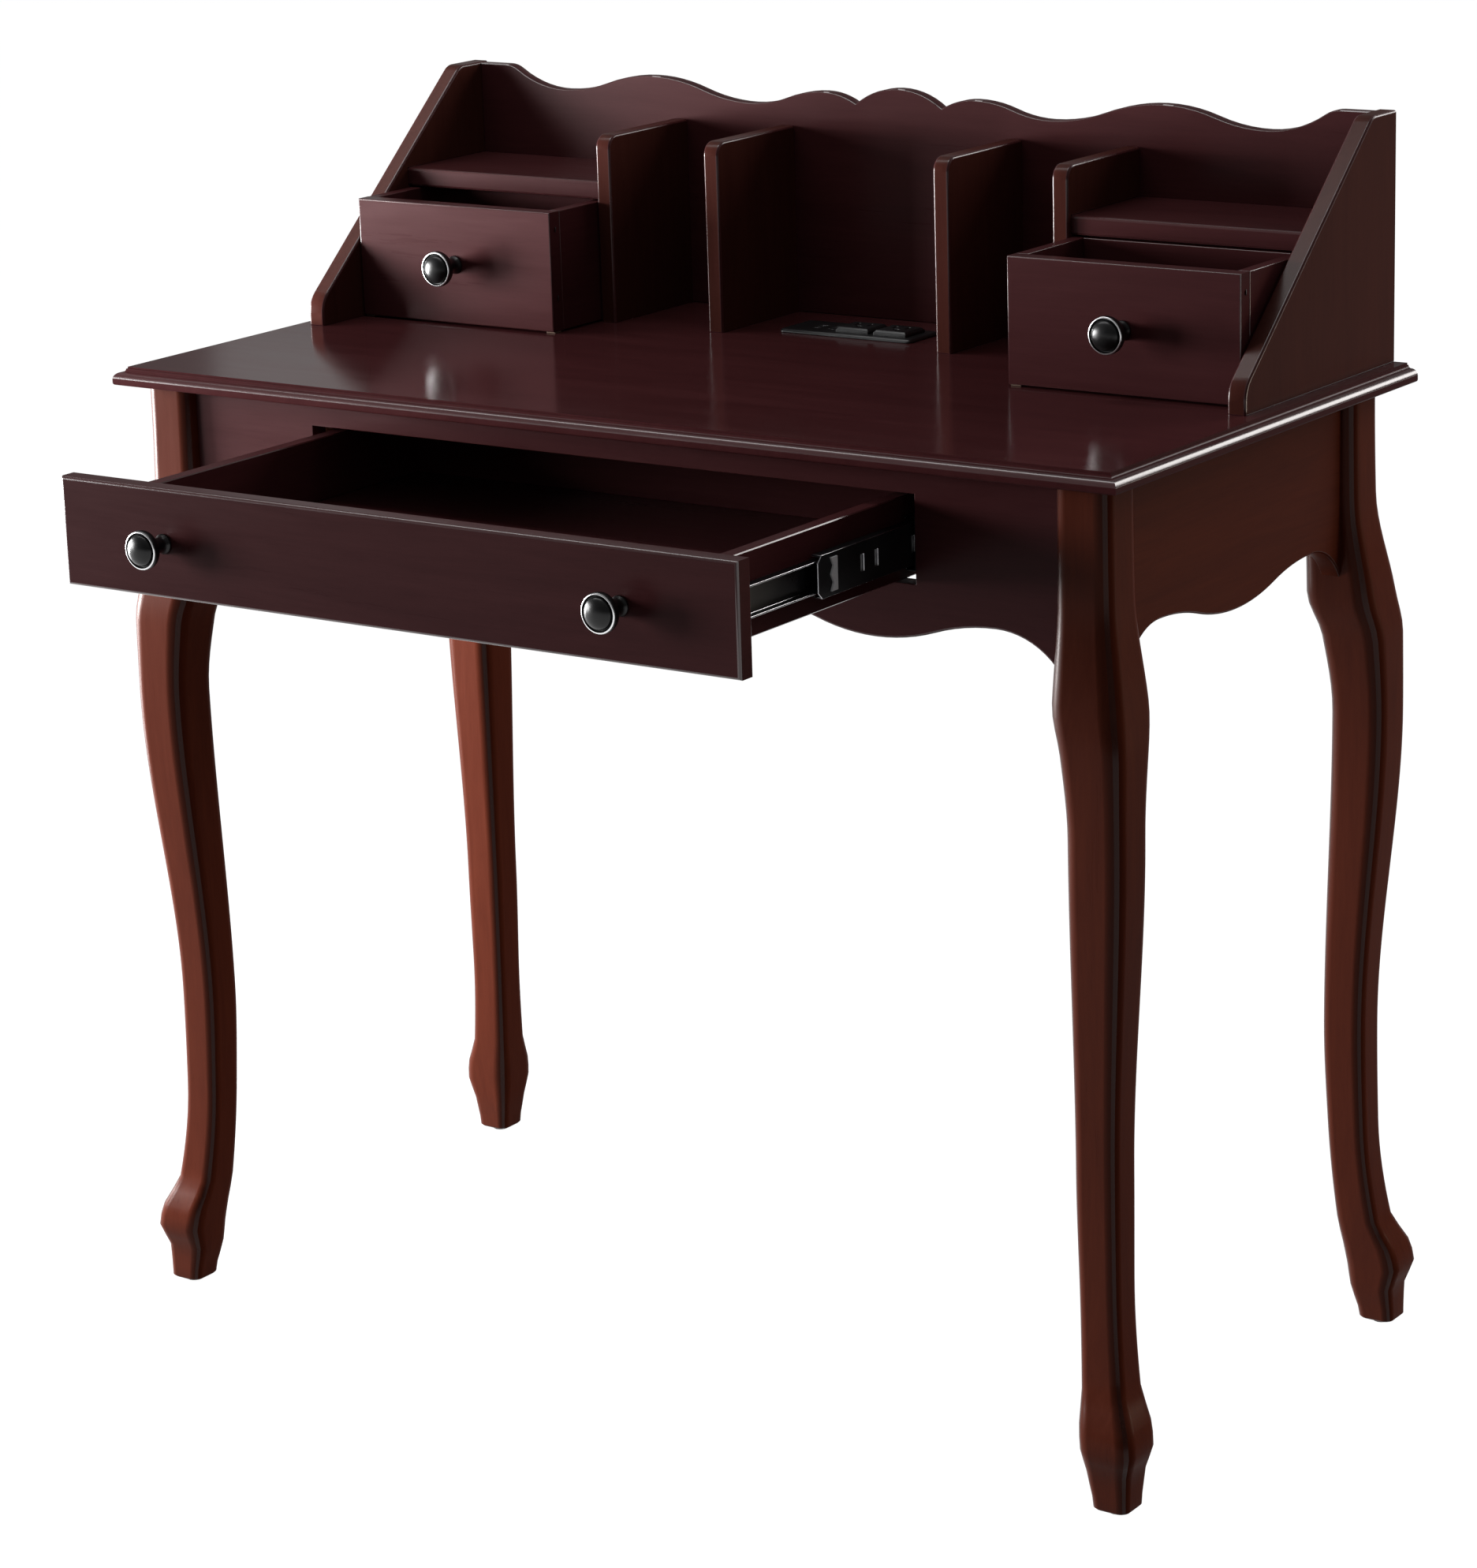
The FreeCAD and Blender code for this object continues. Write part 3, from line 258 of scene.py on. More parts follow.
finishes = {"top": stained_wood("mahogany_polished_top", "x", **BOARD, **POLISHED),
            "lengthwise": stained_wood("mahogany_lengthwise", "x", **BOARD, **SATIN),
            "crosswise": stained_wood("mahogany_crosswise", "y", **BOARD, **DULL),
            # Upright boards take the warmer copy: partly painted warm light
            "upright": stained_wood("mahogany_upright", "z", **TAWNY, **DULL),
            # The side aprons take the legs' warmer, lighter stain instead of the board stain of the front
            # and rear aprons: partly their own tone, partly painted warm light on the faces turned to the
            # side
            "side": stained_wood("mahogany_side_apron", "y", **WARM, **DULL),
            "leg": stained_wood("mahogany_leg", "z", **WARM, **SATIN),
            "leg_side": stained_wood("mahogany_leg_side", "z", **WARM, **DULL),
            "moulding": stained_wood("mahogany_moulding", "x", **BOARD, **ROUNDED),
            "arris": stained_wood("mahogany_arris", "x", **BOARD, **ARRIS),
            # The leg arris finish is darker than the leg: painted shade on its corners
            "leg_arris_painted_shade": stained_wood("mahogany_leg_arris", "z", **WARM_PAINTED_SHADE, **BURNISHED),
            "bare": stained_wood("bare_wood", "y", (0.46, 0.31, 0.17), (0.62, 0.46, 0.28),
                                 (0.34, 0.22, 0.12), (0.55, 0.7), 0.2, bump=0.3),
            "black_steel": gritty("black_slide_coat", (0.0035, 0.0035, 0.004), (0.008, 0.008, 0.009),
                                  (0.26, 0.38), Specular_IOR_Level=0.16),
            # Bright bare metal on the slides' bevelled edges, which draws light lines along the flanges
            "steel_edge": gritty("bright_slide_edge_metal", (0.42, 0.42, 0.44), (0.62, 0.62, 0.64), (0.22, 0.34),
                                 Metallic=1.0),
            "zinc": gritty("zinc_plate", (0.42, 0.42, 0.43), (0.60, 0.60, 0.60), (0.24, 0.4), Metallic=1.0),
            "dark_screw": gritty("blackened_screw", (0.010, 0.009, 0.009), (0.026, 0.024, 0.024),
                                 (0.3, 0.45), Specular_IOR_Level=0.3),
            "knob": gritty("black_nickel", (0.0040, 0.0040, 0.0044), (0.0075, 0.0075, 0.0080),
                           (0.26, 0.34), bump=0.01, Specular_IOR_Level=0.34),
            # Light nickel on the knob's rim: a painted highlight that stands in for the thin bright line
            # along the rim's edge
            "knob_rim": gritty("nickel_rim_painted_highlight", (0.74, 0.74, 0.75), (0.86, 0.86, 0.87), (0.24, 0.32),
                               bump=0.01, Metallic=1.0),
            "white_plastic": gritty("white_nylon", (0.60, 0.60, 0.62), (0.74, 0.74, 0.75), (0.4, 0.55)),
            "black_plastic": gritty("black_moulding", (0.006, 0.006, 0.0065), (0.013, 0.013, 0.014),
                                    (0.26, 0.40), bump=0.10, Specular_IOR_Level=0.35),
            "port": gritty("port_shell", (0.28, 0.28, 0.29), (0.42, 0.42, 0.43), (0.28, 0.4), Metallic=1.0),
            "glide": gritty("brown_glide", (0.030, 0.018, 0.013), (0.050, 0.030, 0.020), (0.45, 0.6)),
            "felt": gritty("brown_felt", (0.10, 0.060, 0.042), (0.19, 0.12, 0.085), (0.9, 1.0),
                           grain=2600.0, bump=0.6)}


# Shaping tools

def only(piece):
    bpy.ops.object.select_all(action="DESELECT")
    piece.select_set(True)
    bpy.context.view_layer.objects.active = piece


def open_piece(name):
    """Name the primitive just added and open it in edit mode, all selected."""
    piece = bpy.context.active_object
    piece.name = name
    piece.data.name = name
    bpy.ops.object.mode_set(mode="EDIT")
    bpy.ops.mesh.select_all(action="SELECT")
    return piece


def close_piece(piece):
    bpy.ops.mesh.select_all(action="SELECT")
    bpy.ops.mesh.normals_make_consistent(inside=False)
    bpy.ops.object.mode_set(mode="OBJECT")
    return piece


def turned(name, profile, sides=48):
    """Round piece about Z, drawn up ring by ring from a disc along its radii and heights."""
    radius, height = profile[0]
    bpy.ops.mesh.primitive_circle_add(vertices=sides, radius=radius, fill_type="NGON",
                                      location=(0, 0, height))
    piece = open_piece(name)
    bpy.ops.object.mode_set(mode="OBJECT")
    bpy.ops.object.transform_apply(location=True, rotation=True, scale=True)
    bpy.ops.object.mode_set(mode="EDIT")
    for (before, low), (after, high) in zip(profile, profile[1:]):
        bpy.ops.mesh.extrude_region_move(TRANSFORM_OT_translate={"value": (0, 0, high - low)})
        bpy.ops.transform.resize(value=(after / before, after / before, 1), center_override=(0, 0, high))
    return close_piece(piece)


def settle(piece, place=(0, 0, 0), turn=(0, 0, 0), scale=(1, 1, 1)):
    """Put a piece in its place and leave its object at the origin."""
    only(piece)
    piece.location = place
    piece.rotation_euler = turn
    piece.scale = scale
    bpy.ops.object.transform_apply(location=True, rotation=True, scale=True)
    if min(scale) < 0:
        bpy.ops.object.mode_set(mode="EDIT")
        close_piece(piece)
    return piece


def copy_of(piece, name):
    only(piece)
    bpy.ops.object.duplicate(linked=False)
    copy = bpy.context.active_object
    copy.name = name
    copy.data.name = name
    return copy


def join(name, pieces):
    bpy.ops.object.select_all(action="DESELECT")
    for piece in pieces:
        piece.select_set(True)
    bpy.context.view_layer.objects.active = pieces[0]
    if len(pieces) > 1:
        bpy.ops.object.join()
    pieces[0].name = name
    pieces[0].data.name = name
    return pieces[0]


def wear(piece, *names):
    """Give a piece or node its finishes, one for each number its faces are marked with."""
    worn = piece.data.materials
    for number, name in enumerate(names):
        if number < len(worn):
            worn[number] = finishes[name]
        else:
            worn.append(finishes[name])


def dress(piece, names, body, replaced=(), smooth=40.0):
    """Smooth a piece, give it its finishes and set it on its body."""
    only(piece)
    bpy.ops.object.shade_smooth_by_angle(angle=math.radians(smooth))
    apply_modifier(piece, "WEIGHTED_NORMAL", keep_sharp=True)
    wear(piece, *names)
    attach(piece, body)
    if replaced:
        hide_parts(*replaced)
    piece.select_set(False)
    return piece


def apply_modifier(piece, kind, **settings):
    only(piece)
    modifier = piece.modifiers.new(kind.lower(), kind)
    for key, value in settings.items():
        setattr(modifier, key, value)
    bpy.ops.object.modifier_apply(modifier=modifier.name)


def choose(mode, test):
    """Select the vertices, edges or faces of the open piece that pass a test."""
    bpy.ops.mesh.select_all(action="DESELECT")
    bpy.ops.mesh.select_mode(type=mode)
    mesh = bmesh.from_edit_mesh(bpy.context.active_object.data)
    for part in {"VERT": mesh.verts, "EDGE": mesh.edges, "FACE": mesh.faces}[mode]:
        part.select_set(test(part))
    mesh.select_flush_mode()
    bmesh.update_edit_mesh(bpy.context.active_object.data)


def block(name, low, high):
    """Squared block between two corners, left open in edit mode."""
    middle = (Vector(low) + Vector(high)) / 2
    bpy.ops.mesh.primitive_cube_add(size=1, location=middle)
    bpy.context.active_object.scale = Vector(high) - Vector(low)
    bpy.ops.object.transform_apply(location=True, rotation=True, scale=True)
    return open_piece(name)


def mark(piece, rule):
    """Number the faces of a piece by a rule: each number takes one of its finishes."""
    for face in piece.data.polygons:
        face.material_index = int(rule(face))


# Tabletop: the flat, drawn out and down over the moulding at the front and both sides
MOULD_OUT = 0.0090
QUIRK_DROP = 0.0015
QUIRK_LEDGE = 0.0010
UNDER_ROUND = 0.0020
COVE = 0.0025
ROUND_STEPS = 10
DOCK_HOLE_INSET = 0.0035


def quarter(middle, radius, start):
    """Points of a quarter circle in (out, down), from a start angle on, without its first point."""
    turns = [start + QUARTER_TURN * step / ROUND_STEPS for step in range(1, ROUND_STEPS + 1)]
    return [(middle[0] + radius * math.cos(turn), middle[1] + radius * math.sin(turn)) for turn in turns]


def moulding_profile():
    """How far out and down the edge runs: quirk, cove, ovolo, nose and the round under it."""
    thickness = top_high.z - top_low.z
    ovolo = MOULD_OUT - QUIRK_LEDGE - COVE
    hollow = [(out, 2 * QUIRK_DROP - down) for out, down in
              quarter((QUIRK_LEDGE + COVE, QUIRK_DROP), COVE, 2 * QUARTER_TURN)]
    swell = quarter((QUIRK_LEDGE + COVE, QUIRK_DROP + COVE + ovolo), ovolo, -QUARTER_TURN)
    under = quarter((MOULD_OUT - UNDER_ROUND, thickness - UNDER_ROUND), UNDER_ROUND, 0.0)
    return [(0.0, 0.0), (0.0, QUIRK_DROP), (QUIRK_LEDGE, QUIRK_DROP)] + hollow + swell + [
        (MOULD_OUT, thickness - UNDER_ROUND)] + under


def moulding_finish(face):
    """Flat, moulding, or the plainer nose and underside."""
    if face.normal.z > 0.98 and face.center.z > top_high.z - 0.0001:
        return 0
    cove_top = top_high.z - QUIRK_DROP
    in_cove = cove_top - COVE < face.center.z < cove_top - 0.0001
    return 1 if face.normal.z > 0.2 and not in_cove else 2


def make_tabletop():
    flat_side = top_high.x - MOULD_OUT
    flat_depth = top_high.y - top_low.y - MOULD_OUT
    rear = top_high.y
    bpy.ops.mesh.primitive_plane_add(size=1, location=(0, rear - flat_depth / 2, top_high.z))
    bpy.context.active_object.scale = (2 * flat_side, flat_depth, 1)
    bpy.ops.object.transform_apply(location=True, rotation=True, scale=True)
    top = open_piece("moulded_top")
    profile = moulding_profile()
    for (out, down), (further, lower) in zip(profile, profile[1:]):
        bpy.ops.mesh.extrude_region_move(TRANSFORM_OT_translate={"value": (0, 0, down - lower)})
        ratio = ((flat_side + further) / (flat_side + out), (flat_depth + further) / (flat_depth + out), 1)
        bpy.ops.transform.resize(value=ratio, center_override=(0, rear, top_high.z - lower))
    close_piece(top)
    dock_low, dock_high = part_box("dock_housing")
    inset = Vector((DOCK_HOLE_INSET, DOCK_HOLE_INSET, -0.01))
    hole = block("dock_hole", Vector(dock_low) + inset, Vector(dock_high) - inset)
    bpy.ops.object.mode_set(mode="OBJECT")
    apply_modifier(top, "BOOLEAN", object=hole, operation="DIFFERENCE", solver="EXACT")
    bpy.data.objects.remove(hole)
    mark(top, moulding_finish)
    return top


dress(make_tabletop(), ("top", "moulding", "crosswise"), "desk", ("tabletop",), 36.0)


# Drawer fronts with their rounded edges
FRONT_ROUNDS = {"drawer_front": (0.0030, "drawer"),
                "small_drawer_left_front": (0.0012, "small_drawer_left"),
                "small_drawer_right_front": (0.0012, "small_drawer_right")}
FRONT_BACK_EASE = 0.0008
SQUARE_ON = 0.98              # faces turned at least so far along an axis are flat


def front_finish(face):
    """Broad faces, rounded edges, or the duller ends."""
    if max(abs(share) for share in face.normal) < SQUARE_ON:
        return 1
    return 2 if abs(face.normal.x) > SQUARE_ON else 0


def make_front(node, radius):
    low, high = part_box(node)
    front = block("rounded_" + node, low, high)
    choose("EDGE", lambda edge: all(vert.co.y < low.y + 1e-5 for vert in edge.verts))
    bpy.ops.mesh.bevel(offset=radius, segments=6, affect="EDGES")
    choose("EDGE", lambda edge: all(vert.co.y > high.y - 1e-5 for vert in edge.verts))
    bpy.ops.mesh.bevel(offset=FRONT_BACK_EASE, segments=2, affect="EDGES")
    close_piece(front)
    mark(front, front_finish)
    return front


for node, (radius, body) in FRONT_ROUNDS.items():
    front = make_front(node, radius)
    dress(front, ("lengthwise", "moulding", "crosswise"), body, (node,), 36.0)


# Cabriole legs: the post's outer corner is the origin, and the leg reaches out along +X and +Y
LEG_POINTS = ((0.0040, 0.0200, -0.0100), (0.0330, 0.0210, -0.0160), (0.0510, 0.0270, -0.0185),
              (0.0690, 0.0235, -0.0210), (0.0920, 0.0125, -0.0240), (0.1720, 0.0045, -0.0295),
              (0.2560, 0.0036, -0.0322), (0.5080, 0.0175, -0.0290), (0.5690, 0.0175, -0.0355),
              (0.6040, 0.0130, -0.0445), (0.6800, 0.0010, -0.0445), (0.7600, 0.0000, -0.0445))
LEG_ROUND = 0.26              # corner rounding, as a share of the leg's width
ARRIS_LEAN = 0.75             # faces turned at least so far towards a corner are its arris
LEG_RING = 0.010              # spacing of the rings
SOLE_EASE = 0.0015


def smooth_side(column):
    """Slopes of one side of the leg at its points, level at every crest and hollow."""
    steps = [(b[column] - a[column]) / (b[0] - a[0]) for a, b in zip(LEG_POINTS, LEG_POINTS[1:])]
    slopes = [0.0]
    for before, after in zip(steps, steps[1:]):
        slopes.append(0.0 if before * after <= 0 else 2 * before * after / (before + after))
    return slopes + [0.0]


def leg_rings():
    """Height, middle and width of the leg, ring by ring."""
    slopes = {1: smooth_side(1), 2: smooth_side(2)}
    rings = []
    for number, (start, end) in enumerate(zip(LEG_POINTS, LEG_POINTS[1:])):
        span = end[0] - start[0]
        count = max(2, round(span / LEG_RING))
        for step in range(count):
            t = step / count
            sides = []
            for column in (1, 2):
                rise = slopes[column]
                sides.append((2 * t ** 3 - 3 * t ** 2 + 1) * start[column]
                             + (3 * t ** 2 - 2 * t ** 3) * end[column]
                             + (t ** 3 - 2 * t ** 2 + t) * span * rise[number]
                             + (t ** 3 - t ** 2) * span * rise[number + 1])
            rings.append((start[0] + span * t, (sides[0] + sides[1]) / 2, sides[0] - sides[1]))
    last = LEG_POINTS[-1]
    rings.append((last[0], (last[1] + last[2]) / 2, last[1] - last[2]))
    return rings


def leg_finish(face):
    """Front and rear, the arris painted darker as shade, or the duller left and right."""
    across, along = abs(face.normal.x), abs(face.normal.y)
    if min(across, along) > ARRIS_LEAN * max(across, along):
        return 1
    return 2 if across > along else 0


def make_leg():
    rings = leg_rings()
    height, middle, width = rings[0]
    rings[0:1] = [(height, middle, width - 2 * SOLE_EASE), (height + SOLE_EASE, middle, width)]
    height, middle, width = rings[0]
    bpy.ops.mesh.primitive_plane_add(size=width, location=(0, 0, 0))
    leg = open_piece("leg")
    bpy.ops.mesh.bevel(offset=width * LEG_ROUND, segments=10, affect="VERTICES")
    bpy.ops.mesh.select_all(action="SELECT")
    bpy.ops.transform.translate(value=(middle, middle, height))
    for before, after in zip(rings, rings[1:]):
        shift = after[1] - before[1]
        step = (shift, shift, after[0] - before[0])
        bpy.ops.mesh.extrude_region_move(TRANSFORM_OT_translate={"value": step})
        ratio = after[2] / before[2]
        bpy.ops.transform.resize(value=(ratio, ratio, 1), center_override=(after[1], after[1], after[0]))
    close_piece(leg)
    mark(leg, leg_finish)
    return leg


leg = make_leg()
corners = {"rear_right": (post_side, post_rear, 1, 1), "rear_left": (-post_side, post_rear, -1, 1),
           "front_right": (post_side, post_front, 1, -1), "front_left": (-post_side, post_front, -1, -1)}
for corner, (x, y, across, along) in corners.items():
    copy = settle(copy_of(leg, "cabriole_" + corner), place=(x, y, 0), scale=(across, along, 1))
    dress(copy, ("leg", "leg_arris_painted_shade", "leg_side"), "desk", ("leg_" + corner,), 50.0)
bpy.data.objects.remove(leg)


# Knobs
RIM_INNER = 0.0130
RIM_BACK = 0.0256
DOME_STEPS = 14


# Faces of the rim, which take the light nickel of the painted highlight
def on_rim(face):
    return math.hypot(face.center.x, face.center.y) > RIM_INNER and face.center.z > RIM_BACK


def arc_steps(start, end, bulge, count):
    """Radii and heights between two points of a profile, swelling by a share of the chord."""
    steps = []
    for number in range(1, count):
        t = number / count
        lift = 4 * t * (1 - t) * bulge
        run = (end[0] - start[0], end[1] - start[1])
        steps.append((start[0] + run[0] * t + run[1] * lift, start[1] + run[1] * t - run[0] * lift))
    return steps


def make_knob():
    base = [(0.0071, 0.0), (0.0075, 0.0005), (0.0075, 0.0012), (0.0072, 0.0018)]
    waist = (0.0058, 0.0085)
    rim_back = (0.0136, 0.0196)
    profile = base + arc_steps(base[-1], waist, -0.12, 6) + [waist] + arc_steps(waist, rim_back, -0.20, 10)
    profile += [rim_back, (0.0141, 0.0203), (0.0144, 0.0212), (0.0145, 0.0222), (0.0145, 0.0238),
                (0.0144, 0.0248), (0.0141, 0.0255), (0.0136, 0.0259), (0.0131, 0.0259), (0.0127, 0.0255),
                (0.0123, 0.0248)]
    foot = (0.0115, 0.0246)
    profile += [(0.0120, 0.0246), foot]
    reach = 0.0310
    for number in range(1, DOME_STEPS):
        turn = QUARTER_TURN * number / DOME_STEPS
        profile.append((foot[0] * math.cos(turn), foot[1] + (reach - foot[1]) * math.sin(turn)))
    profile.append((0.0004, reach))
    made = turned("knob", profile, 56)
    mark(made, on_rim)
    return made


knob = make_knob()
wear(knob, "knob", "knob_rim")
knob_turn = (QUARTER_TURN, 0, 0)


def knob_middle(node):
    low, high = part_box(node)
    return (low.x + high.x) / 2, high.y, (low.z + high.z) / 2


knobs_low, knobs_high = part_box("drawer_knobs")
knob_radius = (knobs_high.z - knobs_low.z) / 2
knob_level = knobs_low.z + knob_radius
pair = []
for side, x in (("left", knobs_low.x + knob_radius), ("right", knobs_high.x - knob_radius)):
    pair.append(settle(copy_of(knob, "wide_knob_" + side), (x, knobs_high.y, knob_level), knob_turn))
dress(join("wide_drawer_knobs", pair), ("knob", "knob_rim"), "drawer", ("drawer_knobs",))
for side in ("left", "right"):
    node = "small_drawer_%s_knob" % side
    copy = settle(copy_of(knob, "small_knob_" + side), knob_middle(node), knob_turn)
    dress(copy, ("knob", "knob_rim"), "small_drawer_" + side, (node,))
bpy.data.objects.remove(knob)


# Screws, nuts and bolts
HEAD_PROFILE = ((0.96, 0.0), (1.0, 0.12), (1.0, 0.35), (0.92, 0.66), (0.72, 0.9), (0.4, 0.99), (0.1, 1.0))
RECESS_LONG = 1.15
RECESS_WIDE = 0.26
RECESS_DEEP = 0.9


def make_cross_screw(name, radius, height):
    """Pan head with a cross recess, standing on its seat along +Z."""
    head = turned(name, [(radius * out, height * up) for out, up in HEAD_PROFILE], 24)
    for across, along in ((RECESS_WIDE, RECESS_LONG), (RECESS_LONG, RECESS_WIDE)):
        bpy.ops.mesh.primitive_cube_add(size=1, location=(0, 0, height))
        cutter = bpy.context.active_object
        cutter.scale = (radius * across, radius * along, height * RECESS_DEEP)
        bpy.ops.object.transform_apply(location=True, rotation=True, scale=True)
        apply_modifier(head, "BOOLEAN", object=cutter, operation="DIFFERENCE", solver="EXACT")
        bpy.data.objects.remove(cutter)
    return head


def scatter(master, name, places, finish, body):
    """Copies of one fastener at places, each with its turn, joined into one piece."""
    copies = [settle(copy_of(master, "%s_%d" % (name, number)), place, turn)
              for number, (place, turn) in enumerate(places)]
    return dress(join(name, copies), (finish,), body)


screw = make_cross_screw("screw_master", 0.0034, 0.0020)
flat_screw = make_cross_screw("flat_screw_master", 0.0034, 0.0006)
FLAT_SCREW_SUNK = 0.0004
SLIDE_WALL = 0.0012
INNER_SCREW_REACHES = (0.034, 0.162, 0.318)
OUTER_SCREW_REACHES = (0.150, 0.330)
for side, sign in (("left", -1), ("right", 1)):
    low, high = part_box("slide_inner_" + side)
    web = low.x + SLIDE_WALL if sign > 0 else high.x - SLIDE_WALL
    level = (low.z + high.z) / 2
    places = [((web, low.y + reach, level), (0, sign * QUARTER_TURN, 0.4 * number))
              for number, reach in enumerate(INNER_SCREW_REACHES)]
    scatter(screw, "inner_member_screws_" + side, places, "zinc", "drawer")
    low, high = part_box("slide_outer_" + side)
    seat = SLIDE_WALL - FLAT_SCREW_SUNK
    web = high.x - seat if sign > 0 else low.x + seat
    places = [((web, low.y + reach, (low.z + high.z) / 2), (0, -sign * QUARTER_TURN, 0.5 * number))
              for number, reach in enumerate(OUTER_SCREW_REACHES)]
    scatter(flat_screw, "outer_member_screws_" + side, places, "zinc", "desk")
    front_low, front_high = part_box("small_drawer_%s_front" % side)
    inside = front_high.y
    middle = ((front_low.x + front_high.x) / 2, inside, (front_low.z + front_high.z) / 2)
    scatter(screw, "small_knob_screw_" + side, [(middle, (-QUARTER_TURN, 0, 0.3))], "zinc",
            "small_drawer_" + side)
front_low, front_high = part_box("drawer_front")
places = [((x, front_high.y, knob_level), (-QUARTER_TURN, 0, 0.7))
          for x in (knobs_low.x + knob_radius, knobs_high.x - knob_radius)]
scatter(screw, "wide_knob_screws", places, "zinc", "drawer")

# Block screws up into the top, and the bolts that hold the legs to the corner blocks
BLOCK_THICKNESS = 0.018
BLOCK_GAP = 0.001
BOLT_HEIGHTS = (0.013, 0.033)
WASHER = ((0.0070, 0.0), (0.0072, 0.0002), (0.0072, 0.0010), (0.0070, 0.0012))
NUT = ((0.0050, 0.0012), (0.0057, 0.0017), (0.0057, 0.0056), (0.0050, 0.0061))
BOLT_END = ((0.0029, 0.0061), (0.0029, 0.0100), (0.0026, 0.0112), (0.0016, 0.0118))
block_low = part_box("corner_blocks")[0]
apron_back = apron_high.y - apron_low.y + APRON_SETBACK
near_face = 2 * (POST_WIDTH - apron_back) + BLOCK_GAP
far_face = near_face + BLOCK_THICKNESS * math.sqrt(2)
middle_run = apron_back + (near_face + far_face) / 4
inner_run = apron_back + far_face / 2


def make_leg_bolt():
    """Washer, six-sided nut and rounded bolt end, standing on the block along +Z."""
    washer = turned("leg_bolt_washer", WASHER, 40)
    nut = turned("leg_bolt_nut", NUT, 6)
    end = turned("leg_bolt_end", BOLT_END, 32)
    return join("leg_bolt", [washer, nut, end])


bolt = make_leg_bolt()
bolt_places = []
block_places = []
for corner, (x, y, across, along) in corners.items():
    heading = math.atan2(-along, -across)
    for height in BOLT_HEIGHTS:
        bolt_places.append(((x - across * inner_run, y - along * inner_run, block_low.z + height),
                            (0, QUARTER_TURN, heading)))
    block_places.append(((x - across * middle_run, y - along * middle_run, block_low.z),
                         (2 * QUARTER_TURN, 0, 0.5)))
scatter(bolt, "leg_bolts", bolt_places, "zinc", "desk")
scatter(screw, "block_screws", block_places, "zinc", "desk")
bpy.data.objects.remove(bolt)
bpy.data.objects.remove(screw)
bpy.data.objects.remove(flat_screw)

# Dark screws sunk in the ends of the small drawers' fronts
END_SCREW_SUNK = 0.00045
END_SCREW_SETBACK = 0.0086
END_SCREW_DROP = 0.0145
END_SCREW_RISE = 0.027
pin = make_cross_screw("end_screw_master", 0.0024, 0.0006)
for side in ("left", "right"):
    low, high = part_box("small_drawer_%s_front" % side)
    ends = ((low.x + END_SCREW_SUNK, -QUARTER_TURN), (high.x - END_SCREW_SUNK, QUARTER_TURN))
    levels = (high.z - END_SCREW_DROP, low.z + END_SCREW_RISE)
    places = [((x, low.y + END_SCREW_SETBACK, z), (0, turn, 0.6)) for x, turn in ends for z in levels]
    scatter(pin, "end_screws_" + side, places, "dark_screw", "small_drawer_" + side)
bpy.data.objects.remove(pin)


# Edges of the CAD boards: live bevels, and on the crests one plain chamfer that takes the light
CRESTS = ("hutch_back", "shelf_left", "shelf_right", "drawer_side_left", "drawer_side_right")
SHARP_STARTS = ("leg_", "tabletop", "drawer_front", "drawer_knobs", "cage_", "slide_stop", "dock_ports")
SHARP_ENDS = ("_front", "_knob", "_pads")
SLIDE_EDGE = 0.0003
BOARD_EDGE = 0.0006
CREST_EDGE = 0.0008


def soften(name, node):
    weld = node.modifiers.new("weld", "WELD")
    weld.merge_threshold = 0.00002
    flats = node.modifiers.new("whole_faces", "DECIMATE")
    flats.decimate_type = "DISSOLVE"
    flats.angle_limit = math.radians(0.5)
    bevel = node.modifiers.new("soft_edges", "BEVEL")
    bevel.width = SLIDE_EDGE if name.startswith("slide_") else BOARD_EDGE
    bevel.segments = 3
    if name in CRESTS:
        bevel.width = CREST_EDGE
        bevel.segments = 1
    bevel.limit_method = "ANGLE"
    bevel.angle_limit = math.radians(35)
    bevel.material = 1
    bevel.use_clamp_overlap = name != "hutch_back"


# Finishes of the CAD nodes by the start of their names, with the finish of their bevelled edges second
NODE_FINISHES = (
    # The side aprons' bevelled edges take the darker arris colour: painted shade
    ("side_apron", ("side", "leg_arris_painted_shade")),
    ("drawer_side", ("crosswise", "moulding")),
    (("small_drawer_left_side", "small_drawer_right_side"), ("crosswise", "arris")),
    (("divider", "hutch_side"), ("upright", "arris")),
    (("slide_rail", "corner_blocks"), ("bare", "bare")),
    ("slide_stop", ("white_plastic",)),
    ("slide_outer", ("black_steel", "black_steel")),
    ("slide_", ("black_steel", "steel_edge")),
    ("cage_", ("zinc",)),
    (("small_drawer_left_pads", "small_drawer_right_pads"), ("felt",)),
    ("dock_ports", ("port",)),
    ("dock_", ("black_plastic", "black_plastic")),
    ("foot_glides", ("glide", "glide")),
    (("hutch_back", "shelf"), ("lengthwise", "moulding")),
    ("", ("lengthwise", "arris")))

for name, node in nodes.items():
    if not name.startswith(SHARP_STARTS) and not name.endswith(SHARP_ENDS):
        soften(name, node)
    wear(node, *next(names for start, names in NODE_FINISHES if name.startswith(start)))


# Floor, light and camera
def glow(tree, strength):
    """Emission seen by the camera and in reflections only."""
    rays = tree.nodes.new("ShaderNodeLightPath").outputs
    reflected = math_node(tree, "MAXIMUM", rays["Is Glossy Ray"], rays["Is Transmission Ray"])
    seen = math_node(tree, "MAXIMUM", rays["Is Camera Ray"], reflected)
    return math_node(tree, "MULTIPLY", seen, strength)


